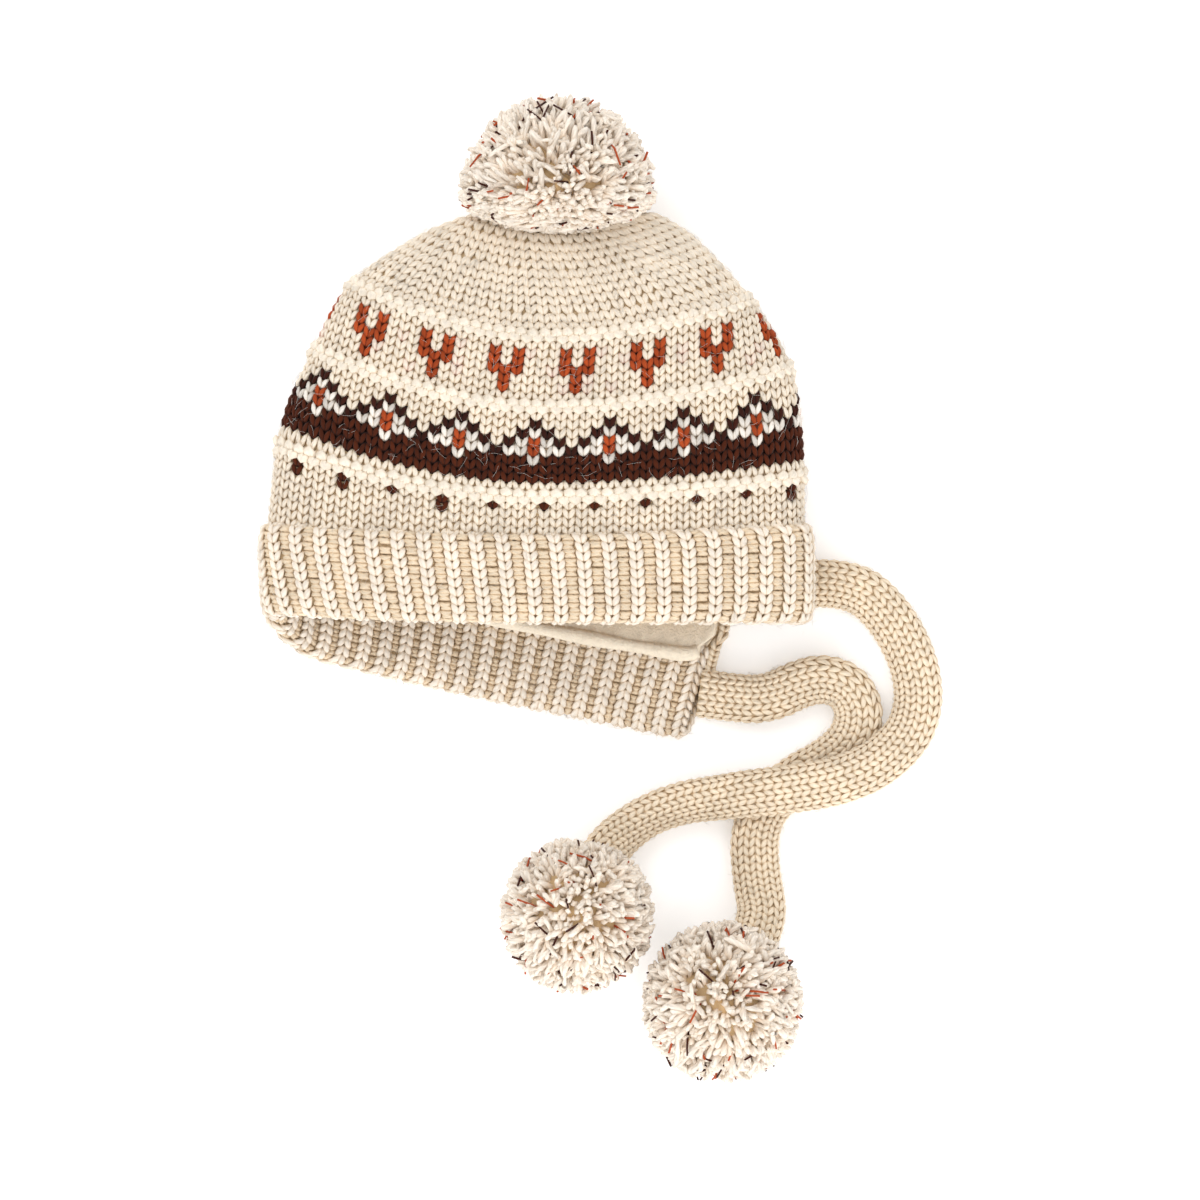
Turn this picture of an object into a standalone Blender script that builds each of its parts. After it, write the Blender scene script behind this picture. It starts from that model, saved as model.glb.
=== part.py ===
"""A chunky knitted bobble hat, lying on its back with its two ties laid out beside it.

Metres, +Z up. The hat lies on the plane z = 0 with its brim towards -Y and its crown towards +Y. The
brim is one ribbed cuff, open at the wearer's right: it starts at a slit in the right fold, runs over
the upper (near) face to the left fold and comes back along the lower (far) face, whose end lies lower
and carries the second tie.
"""

import math
import random

import bmesh
import bpy
import numpy as np
from mathutils import Quaternion, Vector

# The hat
HAT_WIDTH = 0.250  # brim, laid flat, outside the cuff
CROWN_HEIGHT = 0.148  # cuff's upper edge to the top of the crown
HAT_THICKNESS = 0.060  # of the lying hat at its fullest
CUFF_HEIGHT = 0.0385
CUFF_WALL = 0.0095
CUFF_PROUD = 0.0045  # the cuff stands this far outside the crown
RIB_SPACING = 0.0118
FAR_RIB_SPACING = 0.0104  # the ribs lie closer on the far face
RIB_DEPTH = 0.0034  # both faces together
KNIT_WALL = 0.0045
RIDGE_HEIGHT = 0.0018
RIDGE_WIDTH = 0.0075
LINING_WALL = 0.0020
LINING_OVERLAP = 0.0050  # the lining's hem reaches this far down the cuff
SLIT_LENGTH = 0.044  # above the cuff's upper edge

# How far the far face lies below the near one at the cuff, in the middle and at each side
FAR_DROP = 0.0385
FAR_TILT = 0.0230

# Pompoms
POMPOM_DIAMETER = 0.090
POMPOM_RISE = 0.0060  # its centre beyond the top of the crown
POMPOM_SQUASH = 0.40  # of its side that is pressed against the crown
TIE_POMPOM_DIAMETERS = (0.071, 0.074)
POMPOM_SEED = 3
TIE_POMPOM_SEED = 10  # one more for each tie
LOCK_SHARE = 0.135  # a lock's length as a share of its pompom's diameter
LOCK_LENGTHS = (0.90, 1.08)  # shares of that length between which the locks vary
LOCK_TIP = 0.50  # a lock's tip as a share of its foot

# Ties
TIE_WIDTH = 0.0205
TIE_THICKNESS = 0.0120
TIE_STEP = 0.0085  # between the points of a tie's smooth line
TIE_SIDES = 10
TIE_OVAL_POWER = 0.8  # 1 is an ellipse, less is fuller
TIE_INTO_POMPOM = 0.0200
TIE_CUTTER_POINTS = 12  # of the tie's line, counted from its end, that shape the room in the pompom

# Clearances
GAP = 0.0003
LINING_GAP = 0.0010  # between the crown's inner face and the lining
SEAM_GAP = 0.0005  # between crown and cuff, whose facets differ
SEAT_GAP = 0.0004  # between the crown's top, or a tie's end, and the pompom over it
TIE_CLEARANCE = 0.0009  # round a tie inside its pompom, where their facets differ

# The loop of a row: a flattened superellipse, cut flat where it lies on the floor
LOOP_POWER = 2.8
FLAT_SHARE = 0.88
SAG_POWER = 1.9
SLIT_ANGLE = -0.25  # of the slit's near edge, below the right fold
LEFT_SLIDE = (math.pi - 0.15, math.pi + 0.70)  # angles between which a row slides to the far line
RIGHT_SLIDE = (2 * math.pi - 1.10, 2 * math.pi + SLIT_ANGLE)
SLIT_POWER = 1.6  # the slit's far edge closes late, at the slit's top
BEND_SHARE = 0.12  # a radian of bend gets as many columns as this share of HAT_WIDTH
LOOP_SAMPLES = 721
ROUTE_SAMPLES = 40  # for each point of a tie's route
CROWN_COLUMNS = 44
FACETS_PER_RIB = 4
SECTION_POINTS = 8
SECTION_POWER = 0.5  # of the cuff's rounded section: 1 is an ellipse, 0 a rectangle
CUTTER_FROM = 0.5  # height share at which the cutter of the big pompom's seat starts

# Rows of the hat. near is the height of the row's middle on the near face and the rises are how much
# higher it ends at each side, all shares of CROWN_HEIGHT; left and right are the folds, shares of half
# the crown's width; thick and lift are shares of HAT_THICKNESS; far is the share of the far face's drop.
ROW_COLUMNS = ("near", "rise_left", "rise_right", "left", "right", "thick", "lift", "far")
ROWS = (
    (0.000, 0.034, 0.034, 1.000, 0.997, 0.93, 0.00, 1.00),
    (0.119, 0.155, 0.062, 0.966, 0.996, 0.97, 0.00, 0.88),
    (0.390, 0.178, 0.122, 0.831, 0.947, 1.00, 0.00, 0.61),
    (0.604, 0.165, 0.113, 0.692, 0.801, 0.98, 0.00, 0.40),
    (0.750, 0.116, 0.110, 0.534, 0.648, 0.91, 0.02, 0.25),
    (0.872, 0.076, 0.076, 0.343, 0.518, 0.75, 0.08, 0.13),
    (0.945, 0.040, 0.040, 0.193, 0.404, 0.56, 0.17, 0.06),
    (0.985, 0.012, 0.012, 0.062, 0.238, 0.36, 0.27, 0.02),
    (1.000, 0.000, 0.000, -0.010, 0.150, 0.22, 0.34, 0.00),
)
RIDGES = (0.119, 0.390, 0.604)  # near heights of the three raised rows
CROWN_STEPS = (0.50, 0.70, 0.79, 0.865, 0.92, 0.96, 0.985, 1.0)
CROWN_INNER_TOP = 0.93  # the knit is gathered thick above this height
LINING_STEPS = (0.0, 0.12, 0.45, 0.60, 0.73, 0.84)
LINING_INNER_TOP = 0.985

# The cuff from its upper edge (first row) to its rim
CUFF_COLUMNS = ("rise_left", "rise_right", "left", "right", "thick", "far", "end")
CUFF_ROWS = (
    (0.034, 0.034, 1.000, 0.997, 0.93, 1.00, 0.658),
    (0.027, 0.000, 0.990, 0.997, 0.87, 1.03, 0.558),
)
CROWN_FAR_END = 0.709  # where the slit's far edge meets the cuff, a share of half the width

# Routes of the ties: x, y, height of the centre line, and roll in degrees (0 lies flat)
TIE_ROUTES = (
    (
        (0.1140, -0.0764, 0.0061, 0),
        (0.1240, -0.0762, 0.0061, 0),
        (0.1350, -0.0764, 0.0062, 2),
        (0.1480, -0.0800, 0.0066, 8),
        (0.1578, -0.0886, 0.0068, 10),
        (0.1664, -0.1015, 0.0070, 12),
        (0.1722, -0.1170, 0.0072, 12),
        (0.1732, -0.1300, 0.0076, 8),
        (0.1698, -0.1420, 0.0092, 4),
        (0.1620, -0.1518, 0.0124, 0),
        (0.1508, -0.1598, 0.0170, -4),
        (0.1372, -0.1652, 0.0203, -8),
        (0.1191, -0.1687, 0.0210, -12),
        (0.1000, -0.1710, 0.0196, -18),
        (0.0840, -0.1732, 0.0150, -28),
        (0.0650, -0.1762, 0.0112, -40),
        (0.0480, -0.1832, 0.0102, -42),
        (0.0370, -0.1915, 0.0120, -30),
        (0.0300, -0.2000, 0.0180, -18),
        (0.0240, -0.2120, 0.0260, -8),
    ),
    (
        (0.0757, -0.1262, 0.0064, 0),
        (0.0900, -0.1280, 0.0064, 0),
        (0.1000, -0.1286, 0.0064, 0),
        (0.1092, -0.1266, 0.0064, 4),
        (0.1190, -0.1222, 0.0068, 10),
        (0.1300, -0.1198, 0.0072, 12),
        (0.1402, -0.1232, 0.0072, 12),
        (0.1458, -0.1320, 0.0070, 10),
        (0.1452, -0.1422, 0.0066, 6),
        (0.1398, -0.1506, 0.0064, 0),
        (0.1310, -0.1576, 0.0064, 0),
        (0.1200, -0.1638, 0.0064, 0),
        (0.1090, -0.1722, 0.0064, 0),
        (0.1022, -0.1810, 0.0064, 0),
        (0.0992, -0.1920, 0.0064, 0),
        (0.0994, -0.2040, 0.0068, 0),
        (0.1008, -0.2150, 0.0090, 0),
        (0.1020, -0.2240, 0.0140, 0),
        (0.0996, -0.2342, 0.0215, 0),
        (0.0944, -0.2440, 0.0290, 0),
        (0.0890, -0.2530, 0.0345, 0),
    ),
)
# Centres of the tie pompoms in plan; each rests on the floor
TIE_POMPOM_CENTRES = ((0.0183, -0.2260), (0.0840, -0.2650))

# Colour and roughness
CREAM_KNIT = ((0.86, 0.76, 0.62), 0.95)
CUT_YARN = ((0.90, 0.83, 0.72), 0.90)
FLEECE = ((0.80, 0.66, 0.49), 1.00)


def clear_scene():
    for old in list(bpy.data.objects):
        bpy.data.objects.remove(old, do_unlink=True)


def dress(obj, finish):
    """Gives the object a material of its own, with this colour and roughness."""
    colour, roughness = finish
    material = bpy.data.materials.new(obj.name)
    material.use_nodes = True
    shader = material.node_tree.nodes["Principled BSDF"]
    shader.inputs["Base Color"].default_value = (*colour, 1.0)
    shader.inputs["Roughness"].default_value = roughness
    shader.inputs["Metallic"].default_value = 0.0
    obj.data.materials.append(material)


def add_object(name, data):
    obj = bpy.data.objects.new(name, data)
    bpy.context.scene.collection.objects.link(obj)
    return obj


def smooth_columns(places, table, at):
    """Each column of a table as a cubic through its rows, read at the heights asked for."""
    places = np.asarray(places, float)
    table = np.asarray(table, float)
    slopes = np.gradient(table, places, axis=0)
    at = np.clip(at, places[0], places[-1])
    low = np.clip(np.searchsorted(places, at, side="right") - 1, 0, len(places) - 2)
    span = (places[low + 1] - places[low])[:, None]
    part = (at - places[low])[:, None] / span
    return (
        table[low] * (1 + 2 * part) * (1 - part) ** 2
        + slopes[low] * span * part * (1 - part) ** 2
        + table[low + 1] * part**2 * (3 - 2 * part)
        + slopes[low + 1] * span * part**2 * (part - 1)
    )


def crown_row(height):
    """The row at this share of the crown's height, as a dictionary of lengths."""
    values = smooth_columns([row[0] for row in ROWS], ROWS, np.array([height]))[0]
    row = dict(zip(ROW_COLUMNS, values))
    half = HAT_WIDTH / 2 - CUFF_PROUD
    return {
        "near": brim_y() + CROWN_HEIGHT * height,
        "rise_left": CROWN_HEIGHT * row["rise_left"],
        "rise_right": CROWN_HEIGHT * row["rise_right"],
        "left": half * row["left"],
        "right": half * row["right"],
        "thick": HAT_THICKNESS * row["thick"],
        "lift": HAT_THICKNESS * max(row["lift"], 0.0),
        "drop": FAR_DROP * row["far"],
        "tilt": FAR_TILT * row["far"],
    }


def cuff_row(down):
    """The row at this share of the cuff's height below its upper edge."""
    values = (1 - down) * np.array(CUFF_ROWS[0]) + down * np.array(CUFF_ROWS[1])
    row = dict(zip(CUFF_COLUMNS, values))
    half = HAT_WIDTH / 2 - CUFF_PROUD
    return {
        "near": brim_y() - CUFF_HEIGHT * down,
        "rise_left": CROWN_HEIGHT * row["rise_left"],
        "rise_right": CROWN_HEIGHT * row["rise_right"],
        "left": half * row["left"],
        "right": half * row["right"],
        "thick": HAT_THICKNESS * row["thick"],
        "lift": 0.0,
        "drop": FAR_DROP * row["far"],
        "tilt": FAR_TILT * row["far"],
        "end": row["end"],
    }


def brim_y():
    """The cuff's upper edge: the middle of the near face, crown and cuff together, lies at y = 0."""
    return (CUFF_HEIGHT - CROWN_HEIGHT) / 2


def far_angle(share):
    """The angle at which the loop's far face reaches this share of half the width."""
    return 2 * math.pi - math.acos(min(share, 1.0) ** (LOOP_POWER / 2))


def ease(low, high, value):
    """0 below low, 1 above high, and a smooth rise between them."""
    part = np.clip((value - low) / (high - low), 0.0, 1.0)
    return part * part * (3 - 2 * part)


def loop_points(row, angles, out, bottom):
    """Points of a row's loop: a superellipse of its width and thickness, grown outwards by out, and
    nowhere lower than bottom. The row's line is that of the near face up to the left fold, slides
    down to the far face's line round that fold, and climbs back round the right fold."""
    cos, sin = np.cos(angles), np.sin(angles)
    across = np.sign(cos) * np.abs(cos) ** (2 / LOOP_POWER)
    over = np.sign(sin) * np.abs(sin) ** (2 / LOOP_POWER)
    share = np.clip((over + FLAT_SHARE) / (1 + FLAT_SHARE), 0.0, 1.0)
    middle = (row["right"] - row["left"]) / 2
    half = (row["right"] + row["left"]) / 2 + out
    rise = np.where(across < 0, row["rise_left"], row["rise_right"]) * np.abs(across) ** SAG_POWER
    far = (row["drop"] + row["tilt"] * across) * (
        ease(*LEFT_SLIDE, angles) - ease(*RIGHT_SLIDE, angles)
    )
    floor = row["lift"] - out
    ceiling = row["lift"] + row["thick"] + out
    height = np.maximum(floor + (ceiling - floor) * share, row["lift"] + bottom)
    return np.stack(
        (
            middle + half * across,
            row["near"] + rise - far,
            height,
        ),
        axis=1,
    )


def fold_angles(row, end):
    """Angles that cut the crown's face at this row, from the slit to end, into its columns. The columns
    are even, but each radian that the loop bends counts as more length, so that the folds get more."""
    dense = np.linspace(SLIT_ANGLE, end, LOOP_SAMPLES)
    steps = np.diff(loop_points(row, dense, 0.0, 0.0), axis=0)
    lengths = np.linalg.norm(steps, axis=1)
    along = steps / lengths[:, None]
    bends = np.arccos(np.clip((along[1:] * along[:-1]).sum(axis=1), -1.0, 1.0))
    walked = np.cumsum(lengths + BEND_SHARE * HAT_WIDTH * np.concatenate(([0.0], bends)))
    walked = np.concatenate(([0.0], walked))
    return np.interp(np.linspace(0.0, walked[-1], CROWN_COLUMNS + 1), walked, dense)


def walked_ribs(row, out, bottom):
    """Angles of the cuff's loop from the slit to its end, and how many ribs lie up to each of them."""
    dense = np.linspace(SLIT_ANGLE, far_angle(row["end"]), LOOP_SAMPLES)
    lengths = np.linalg.norm(np.diff(loop_points(row, dense, out, bottom), axis=0), axis=1)
    far = ease(*LEFT_SLIDE, (dense[1:] + dense[:-1]) / 2)
    spacing = RIB_SPACING * (1 - far) + FAR_RIB_SPACING * far
    return dense, np.concatenate(([0.0], np.cumsum(lengths / spacing)))


def mesh_object(name, points, faces):
    mesh = bpy.data.meshes.new(name)
    mesh.from_pydata([tuple(map(float, p)) for p in points], [], faces)
    work = bmesh.new()
    work.from_mesh(mesh)
    bmesh.ops.recalc_face_normals(work, faces=work.faces)
    work.to_mesh(mesh)
    work.free()
    mesh.shade_smooth()
    mesh.set_sharp_from_angle(angle=math.radians(40))
    return add_object(name, mesh)


def wall_between(name, outer, inner, closed_from):
    """A wall between two grids of rings by columns. Rings from closed_from up are closed loops; those
    below it are open, and end in the slit's two edges. The top ring of each grid is capped."""
    rings, columns = outer.shape[0], outer.shape[1] - 1
    index = np.arange(rings * (columns + 1)).reshape(rings, columns + 1)
    index[closed_from:, -1] = index[closed_from:, 0]
    other = index + rings * (columns + 1)
    faces = []
    for i in range(rings - 1):
        for j in range(columns):
            faces.append((index[i, j], index[i, j + 1], index[i + 1, j + 1], index[i + 1, j]))
            faces.append((other[i, j + 1], other[i, j], other[i + 1, j], other[i + 1, j + 1]))
    for j in range(columns):
        faces.append((index[0, j + 1], index[0, j], other[0, j], other[0, j + 1]))
    for i in range(closed_from):
        for j, turn in ((0, 1), (columns, -1)):
            edge = (index[i, j], index[i + 1, j], other[i + 1, j], other[i, j])
            faces.append(edge[::turn])
    points = np.concatenate((outer.reshape(-1, 3), inner.reshape(-1, 3)))
    caps = []
    for grid in (index, other):
        ring = [int(k) for k in grid[-1, :-1]]
        caps.append(points[ring].mean(axis=0))
        hub = len(points) + len(caps) - 1
        faces.extend((ring[j], ring[(j + 1) % columns], hub) for j in range(columns))
    points = np.concatenate((points, caps))
    used = np.unique(np.concatenate([np.ravel(f) for f in faces]))
    place = {int(old): new for new, old in enumerate(used)}
    return mesh_object(name, points[used], [tuple(place[int(k)] for k in f) for f in faces])


def slit_end(height):
    """The angle of the slit's far edge at this height; it closes on the near edge at the slit's top."""
    share = min(max(height * CROWN_HEIGHT / SLIT_LENGTH, 0.0), 1.0) ** SLIT_POWER
    return far_angle(CROWN_FAR_END) * (1 - share) + (2 * math.pi + SLIT_ANGLE) * share


def crown_heights():
    """Heights of the crown's rings, with one on the slit's top and three on each ridge."""
    edge = RIDGE_WIDTH / 2 / CROWN_HEIGHT
    ridges = [ridge + step for ridge in RIDGES for step in (-edge, 0.0, edge)]
    return sorted({SEAM_GAP / CROWN_HEIGHT, SLIT_LENGTH / CROWN_HEIGHT, *CROWN_STEPS, *ridges})


def shell_grids(heights, outer, inner, inner_scale):
    """Two grids of rings: outer and inner give (out, bottom) at a height. Every grid has its columns at
    the same angles as the crown's own face, so that the facets of crown and lining lie side by side."""
    grids = ([], [])
    for height in heights:
        row = crown_row(height)
        angles = fold_angles(row, slit_end(height))
        grids[0].append(loop_points(row, angles, *outer(height)))
        inner_row = crown_row(heights[0] + (height - heights[0]) * inner_scale)
        grids[1].append(loop_points(inner_row, angles, *inner(height)))
    return np.array(grids[0]), np.array(grids[1])


def crown_out(height):
    """How far the crown's face stands out here: only its ridges do."""
    return (RIDGE_HEIGHT if height in RIDGES else 0.0), 0.0


def build_crown():
    heights = crown_heights()
    outer, inner = shell_grids(
        heights, crown_out, lambda height: (-KNIT_WALL, KNIT_WALL), CROWN_INNER_TOP
    )
    slit_top = heights.index(SLIT_LENGTH / CROWN_HEIGHT)
    crown = wall_between("crown", outer, inner, slit_top)
    dress(crown, CREAM_KNIT)


def lining_out(height):
    """The lining's outer face: inside the crown, and above the thick cuff where it overlaps that."""
    over_cuff = max(0.0, 1 - height / RIDGES[0])
    inside = max(CUFF_WALL - CUFF_PROUD + GAP, KNIT_WALL + LINING_GAP)
    return -inside, inside + over_cuff * CUFF_PROUD


def build_lining():
    """A fleece lining inside the crown, whose hem covers the top of the cuff's inner face."""
    heights = [step * (1 - LINING_WALL / CROWN_HEIGHT) for step in LINING_STEPS]
    heights = sorted({*heights, SLIT_LENGTH / CROWN_HEIGHT})
    grow = LINING_WALL

    def inner_out(height):
        out, bottom = lining_out(height)
        return out - grow, bottom + grow

    outer, inner = shell_grids(heights, lining_out, inner_out, LINING_INNER_TOP)
    hems = []
    for out_at in (lining_out, inner_out):
        row = cuff_row(LINING_OVERLAP / CUFF_HEIGHT)
        angles = fold_angles(row, far_angle(row["end"]))
        hems.append(loop_points(row, angles, *out_at(0.0))[None])
    outer = np.concatenate((hems[0], outer))
    inner = np.concatenate((hems[1], inner))
    slit_top = 1 + heights.index(SLIT_LENGTH / CROWN_HEIGHT)
    lining = wall_between("lining", outer, inner, slit_top)
    dress(lining, FLEECE)


def build_cuff():
    """The ribbed cuff: a rounded section carried round the open loop, thick on its ribs and thinner
    on both faces between them."""
    half_way_down = cuff_row(0.5)
    ribs = max(8, round(walked_ribs(half_way_down, CUFF_PROUD, 0.0)[1][-1]))
    columns = FACETS_PER_RIB * ribs - 2
    thin = np.array([0.0, 0.0, 1.0, 1.0] * ribs)[: columns + 1] * RIB_DEPTH / 2
    half = CUFF_WALL / 2
    middle = CUFF_PROUD - half
    widest = math.cos(math.pi / SECTION_POINTS)
    grid = []
    for k in range(SECTION_POINTS):
        turn = 2 * math.pi * (k + 0.5) / SECTION_POINTS
        through = math.copysign(abs(math.cos(turn) / widest) ** SECTION_POWER, math.cos(turn))
        along = math.copysign(abs(math.sin(turn) / widest) ** SECTION_POWER, math.sin(turn))
        row = cuff_row(0.5 - 0.5 * along)
        out = middle + half * through
        bottom = CUFF_PROUD - out
        dense, walked = walked_ribs(row, out, bottom)
        angles = np.interp(np.linspace(0.0, walked[-1], columns + 1), walked, dense)
        full = loop_points(row, angles, out, bottom)
        core = loop_points(row, angles, middle, CUFF_PROUD - middle)
        grid.append(full + (core - full) * (thin / half)[:, None])
    grid = np.array(grid)
    index = np.arange(grid.shape[0] * grid.shape[1]).reshape(grid.shape[:2])
    faces = []
    for k in range(SECTION_POINTS):
        above = (k + 1) % SECTION_POINTS
        for j in range(columns):
            faces.append((index[k, j], index[k, j + 1], index[above, j + 1], index[above, j]))
    faces.append(tuple(index[::-1, 0]))
    faces.append(tuple(index[:, -1]))
    faces = [tuple(int(v) for v in face) for face in faces]
    cuff = mesh_object("ribbed_cuff", grid.reshape(-1, 3), faces)
    dress(cuff, CREAM_KNIT)


def pompom_ball(name, centre, diameter, seed, squash=1.0):
    """A pompom: every face of a core ball is drawn out into a tapered lock of cut yarn. The side
    towards -Y is squashed, and no lock reaches below the floor."""
    rng = random.Random(seed)
    lock_length = LOCK_SHARE * diameter
    work = bmesh.new()
    bmesh.ops.create_icosphere(work, subdivisions=2, radius=diameter / 2 - lock_length)
    for face in list(work.faces):
        inradius = 2 * face.calc_area() / face.calc_perimeter()
        length = lock_length * rng.uniform(*LOCK_LENGTHS)
        bmesh.ops.inset_individual(work, faces=[face], thickness=inradius * (1 - LOCK_TIP), depth=length)
    bmesh.ops.triangulate(work, faces=work.faces)
    for vert in work.verts:
        if vert.co.y < 0.0:
            vert.co.y *= squash
        vert.co = vert.co + Vector(centre)
        vert.co.z = max(vert.co.z, 0.0)
    mesh = bpy.data.meshes.new(name)
    work.to_mesh(mesh)
    work.free()
    obj = add_object(name, mesh)
    dress(obj, CUT_YARN)
    return obj


def cut(target, cutter):
    """Leaves the cutter's shape free in the target."""
    cutter.hide_render = True
    cutter.display_type = "WIRE"
    boolean = target.modifiers.new("seat", "BOOLEAN")
    boolean.operation = "DIFFERENCE"
    boolean.solver = "EXACT"
    boolean.object = cutter


def build_crown_pompom():
    """The big pompom, seated over the gathered top of the crown."""
    top = crown_row(1.0)
    across = (top["right"] - top["left"]) / 2
    radius = POMPOM_DIAMETER / 2
    pompom = pompom_ball(
        "crown_pompom",
        (across, top["near"] + POMPOM_RISE, radius),
        POMPOM_DIAMETER,
        POMPOM_SEED,
        POMPOM_SQUASH,
    )
    heights = [height for height in crown_heights() if height >= CUTTER_FROM]
    grid = []
    for height in heights:
        row = crown_row(height)
        out = crown_out(height)[0]
        grown = dict(row, near=row["near"] + SEAT_GAP)
        angles = fold_angles(row, slit_end(height))
        grid.append(loop_points(grown, angles, out + SEAT_GAP, -SEAT_GAP)[:-1])
    columns = CROWN_COLUMNS
    index = np.arange(len(heights) * columns).reshape(len(heights), columns)
    faces = []
    for i in range(len(heights) - 1):
        for j in range(columns):
            beside = (j + 1) % columns
            faces.append((index[i, j], index[i, beside], index[i + 1, beside], index[i + 1, j]))
    faces.append(tuple(index[0, ::-1]))
    faces.append(tuple(index[-1]))
    faces = [tuple(int(v) for v in face) for face in faces]
    cut(pompom, mesh_object("crown_top_cutter", np.concatenate(grid), faces))


def smooth_line(route, step):
    """Points (x, y, z, roll) at even steps along a smooth curve through the route's own points."""
    route = np.array(route, float)
    walked = np.concatenate(([0.0], np.cumsum(np.linalg.norm(np.diff(route[:, :3], axis=0), axis=1))))
    dense = smooth_columns(walked, route, np.linspace(0.0, walked[-1], ROUTE_SAMPLES * len(route)))
    steps = np.linalg.norm(np.diff(dense[:, :3], axis=0), axis=1)
    length = np.concatenate(([0.0], np.cumsum(steps)))
    count = max(8, round(length[-1] / step))
    at = np.linspace(0.0, length[-1], count + 1)
    return np.stack([np.interp(at, length, dense[:, k]) for k in range(4)], axis=1)


def oval_points(width, thickness):
    """The flat oval section of a tie."""
    points = []
    for k in range(TIE_SIDES):
        turn = -2 * math.pi * (k + 0.5) / TIE_SIDES
        wide = math.copysign(abs(math.cos(turn)) ** TIE_OVAL_POWER, math.cos(turn))
        points.append((width / 2 * wide, thickness / 2 * math.sin(turn)))
    return points


def tie_tube(name, line):
    """The tie: a curve that a hidden flat oval bevels, kept level by its twist mode and then rolled."""
    profile = bpy.data.curves.new(name + "_section", "CURVE")
    profile.dimensions = "2D"
    spline = profile.splines.new("POLY")
    spline.points.add(TIE_SIDES - 1)
    for point, (x, y) in zip(spline.points, oval_points(TIE_WIDTH, TIE_THICKNESS)):
        point.co = (x, y, 0.0, 1.0)
    spline.use_cyclic_u = True
    section = add_object(name + "_section", profile)
    section.hide_render = True
    section.display_type = "WIRE"
    curve = bpy.data.curves.new(name, "CURVE")
    curve.dimensions = "3D"
    curve.twist_mode = "Z_UP"
    curve.bevel_mode = "OBJECT"
    curve.bevel_object = section
    curve.use_fill_caps = True
    spline = curve.splines.new("POLY")
    spline.points.add(len(line) - 1)
    for point, (x, y, z, roll) in zip(spline.points, line):
        point.co = (x, y, z, 1.0)
        point.tilt = math.radians(roll)
    return add_object(name, curve)


def tie_cutter(name, line):
    """The room that the end of a tie takes up, with its clearance, as a closed mesh."""
    section = oval_points(TIE_WIDTH + 2 * TIE_CLEARANCE, TIE_THICKNESS + 2 * TIE_CLEARANCE)
    points = []
    for k, (*place, roll) in enumerate(line):
        here = Vector(place)
        into = (here - Vector(line[max(k - 1, 0)][:3])).normalized()
        onward = (Vector(line[min(k + 1, len(line) - 1)][:3]) - here).normalized()
        along = (into + onward).normalized()
        side = along.cross(Vector((0, 0, 1))).normalized()
        turned = Quaternion(along, math.radians(roll))
        side, up = turned @ side, turned @ side.cross(along)
        points.extend(here + side * wide + up * high for wide, high in section)
    faces = []
    for ring in range(0, len(points) - TIE_SIDES, TIE_SIDES):
        for k in range(TIE_SIDES):
            beside = (k + 1) % TIE_SIDES
            faces.append((ring + k, ring + beside, ring + TIE_SIDES + beside, ring + TIE_SIDES + k))
    faces.append(tuple(range(TIE_SIDES)))
    faces.append(tuple(range(len(points) - TIE_SIDES, len(points))))
    return mesh_object(name, points, faces)


def build_tie(number, route, centre, diameter):
    """One tie and the pompom that closes over its end."""
    line = smooth_line(route, TIE_STEP)
    ball = Vector((*centre, diameter / 2))
    inside = diameter / 2 - TIE_INTO_POMPOM
    far_off = [(Vector(point[:3]) - ball).length > inside for point in line]
    line = line[: far_off.index(False) + 1] if False in far_off else line
    tie = tie_tube(f"tie_{number}", line)
    dress(tie, CREAM_KNIT)
    pompom = pompom_ball(f"tie_pompom_{number}", ball, diameter, TIE_POMPOM_SEED + number)
    past = line[-1].copy()
    step = line[-1, :3] - line[-2, :3]
    past[:3] += step / np.linalg.norm(step) * SEAT_GAP
    room = np.concatenate((line[-TIE_CUTTER_POINTS:-1], [past]))
    cut(pompom, tie_cutter(f"tie_cutter_{number}", room))


def main():
    clear_scene()
    build_crown()
    build_cuff()
    build_lining()
    build_crown_pompom()
    for number, (route, centre, diameter) in enumerate(
        zip(TIE_ROUTES, TIE_POMPOM_CENTRES, TIE_POMPOM_DIAMETERS), start=1
    ):
        build_tie(number, route, centre, diameter)


main()
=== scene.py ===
import math
import bpy
import numpy as np
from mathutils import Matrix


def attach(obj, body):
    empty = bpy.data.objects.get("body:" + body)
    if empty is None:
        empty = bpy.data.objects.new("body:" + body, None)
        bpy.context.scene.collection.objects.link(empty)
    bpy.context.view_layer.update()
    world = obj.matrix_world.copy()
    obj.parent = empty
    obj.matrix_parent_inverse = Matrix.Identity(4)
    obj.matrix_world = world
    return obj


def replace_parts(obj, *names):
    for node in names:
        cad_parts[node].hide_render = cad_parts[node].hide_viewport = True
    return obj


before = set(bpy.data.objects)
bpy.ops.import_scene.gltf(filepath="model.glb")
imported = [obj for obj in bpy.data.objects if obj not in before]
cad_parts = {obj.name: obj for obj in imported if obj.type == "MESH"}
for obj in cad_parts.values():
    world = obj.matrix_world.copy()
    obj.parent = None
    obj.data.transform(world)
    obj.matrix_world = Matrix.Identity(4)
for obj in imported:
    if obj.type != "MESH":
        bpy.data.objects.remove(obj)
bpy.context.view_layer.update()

tau = 2 * math.pi
mm = 0.001

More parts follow.
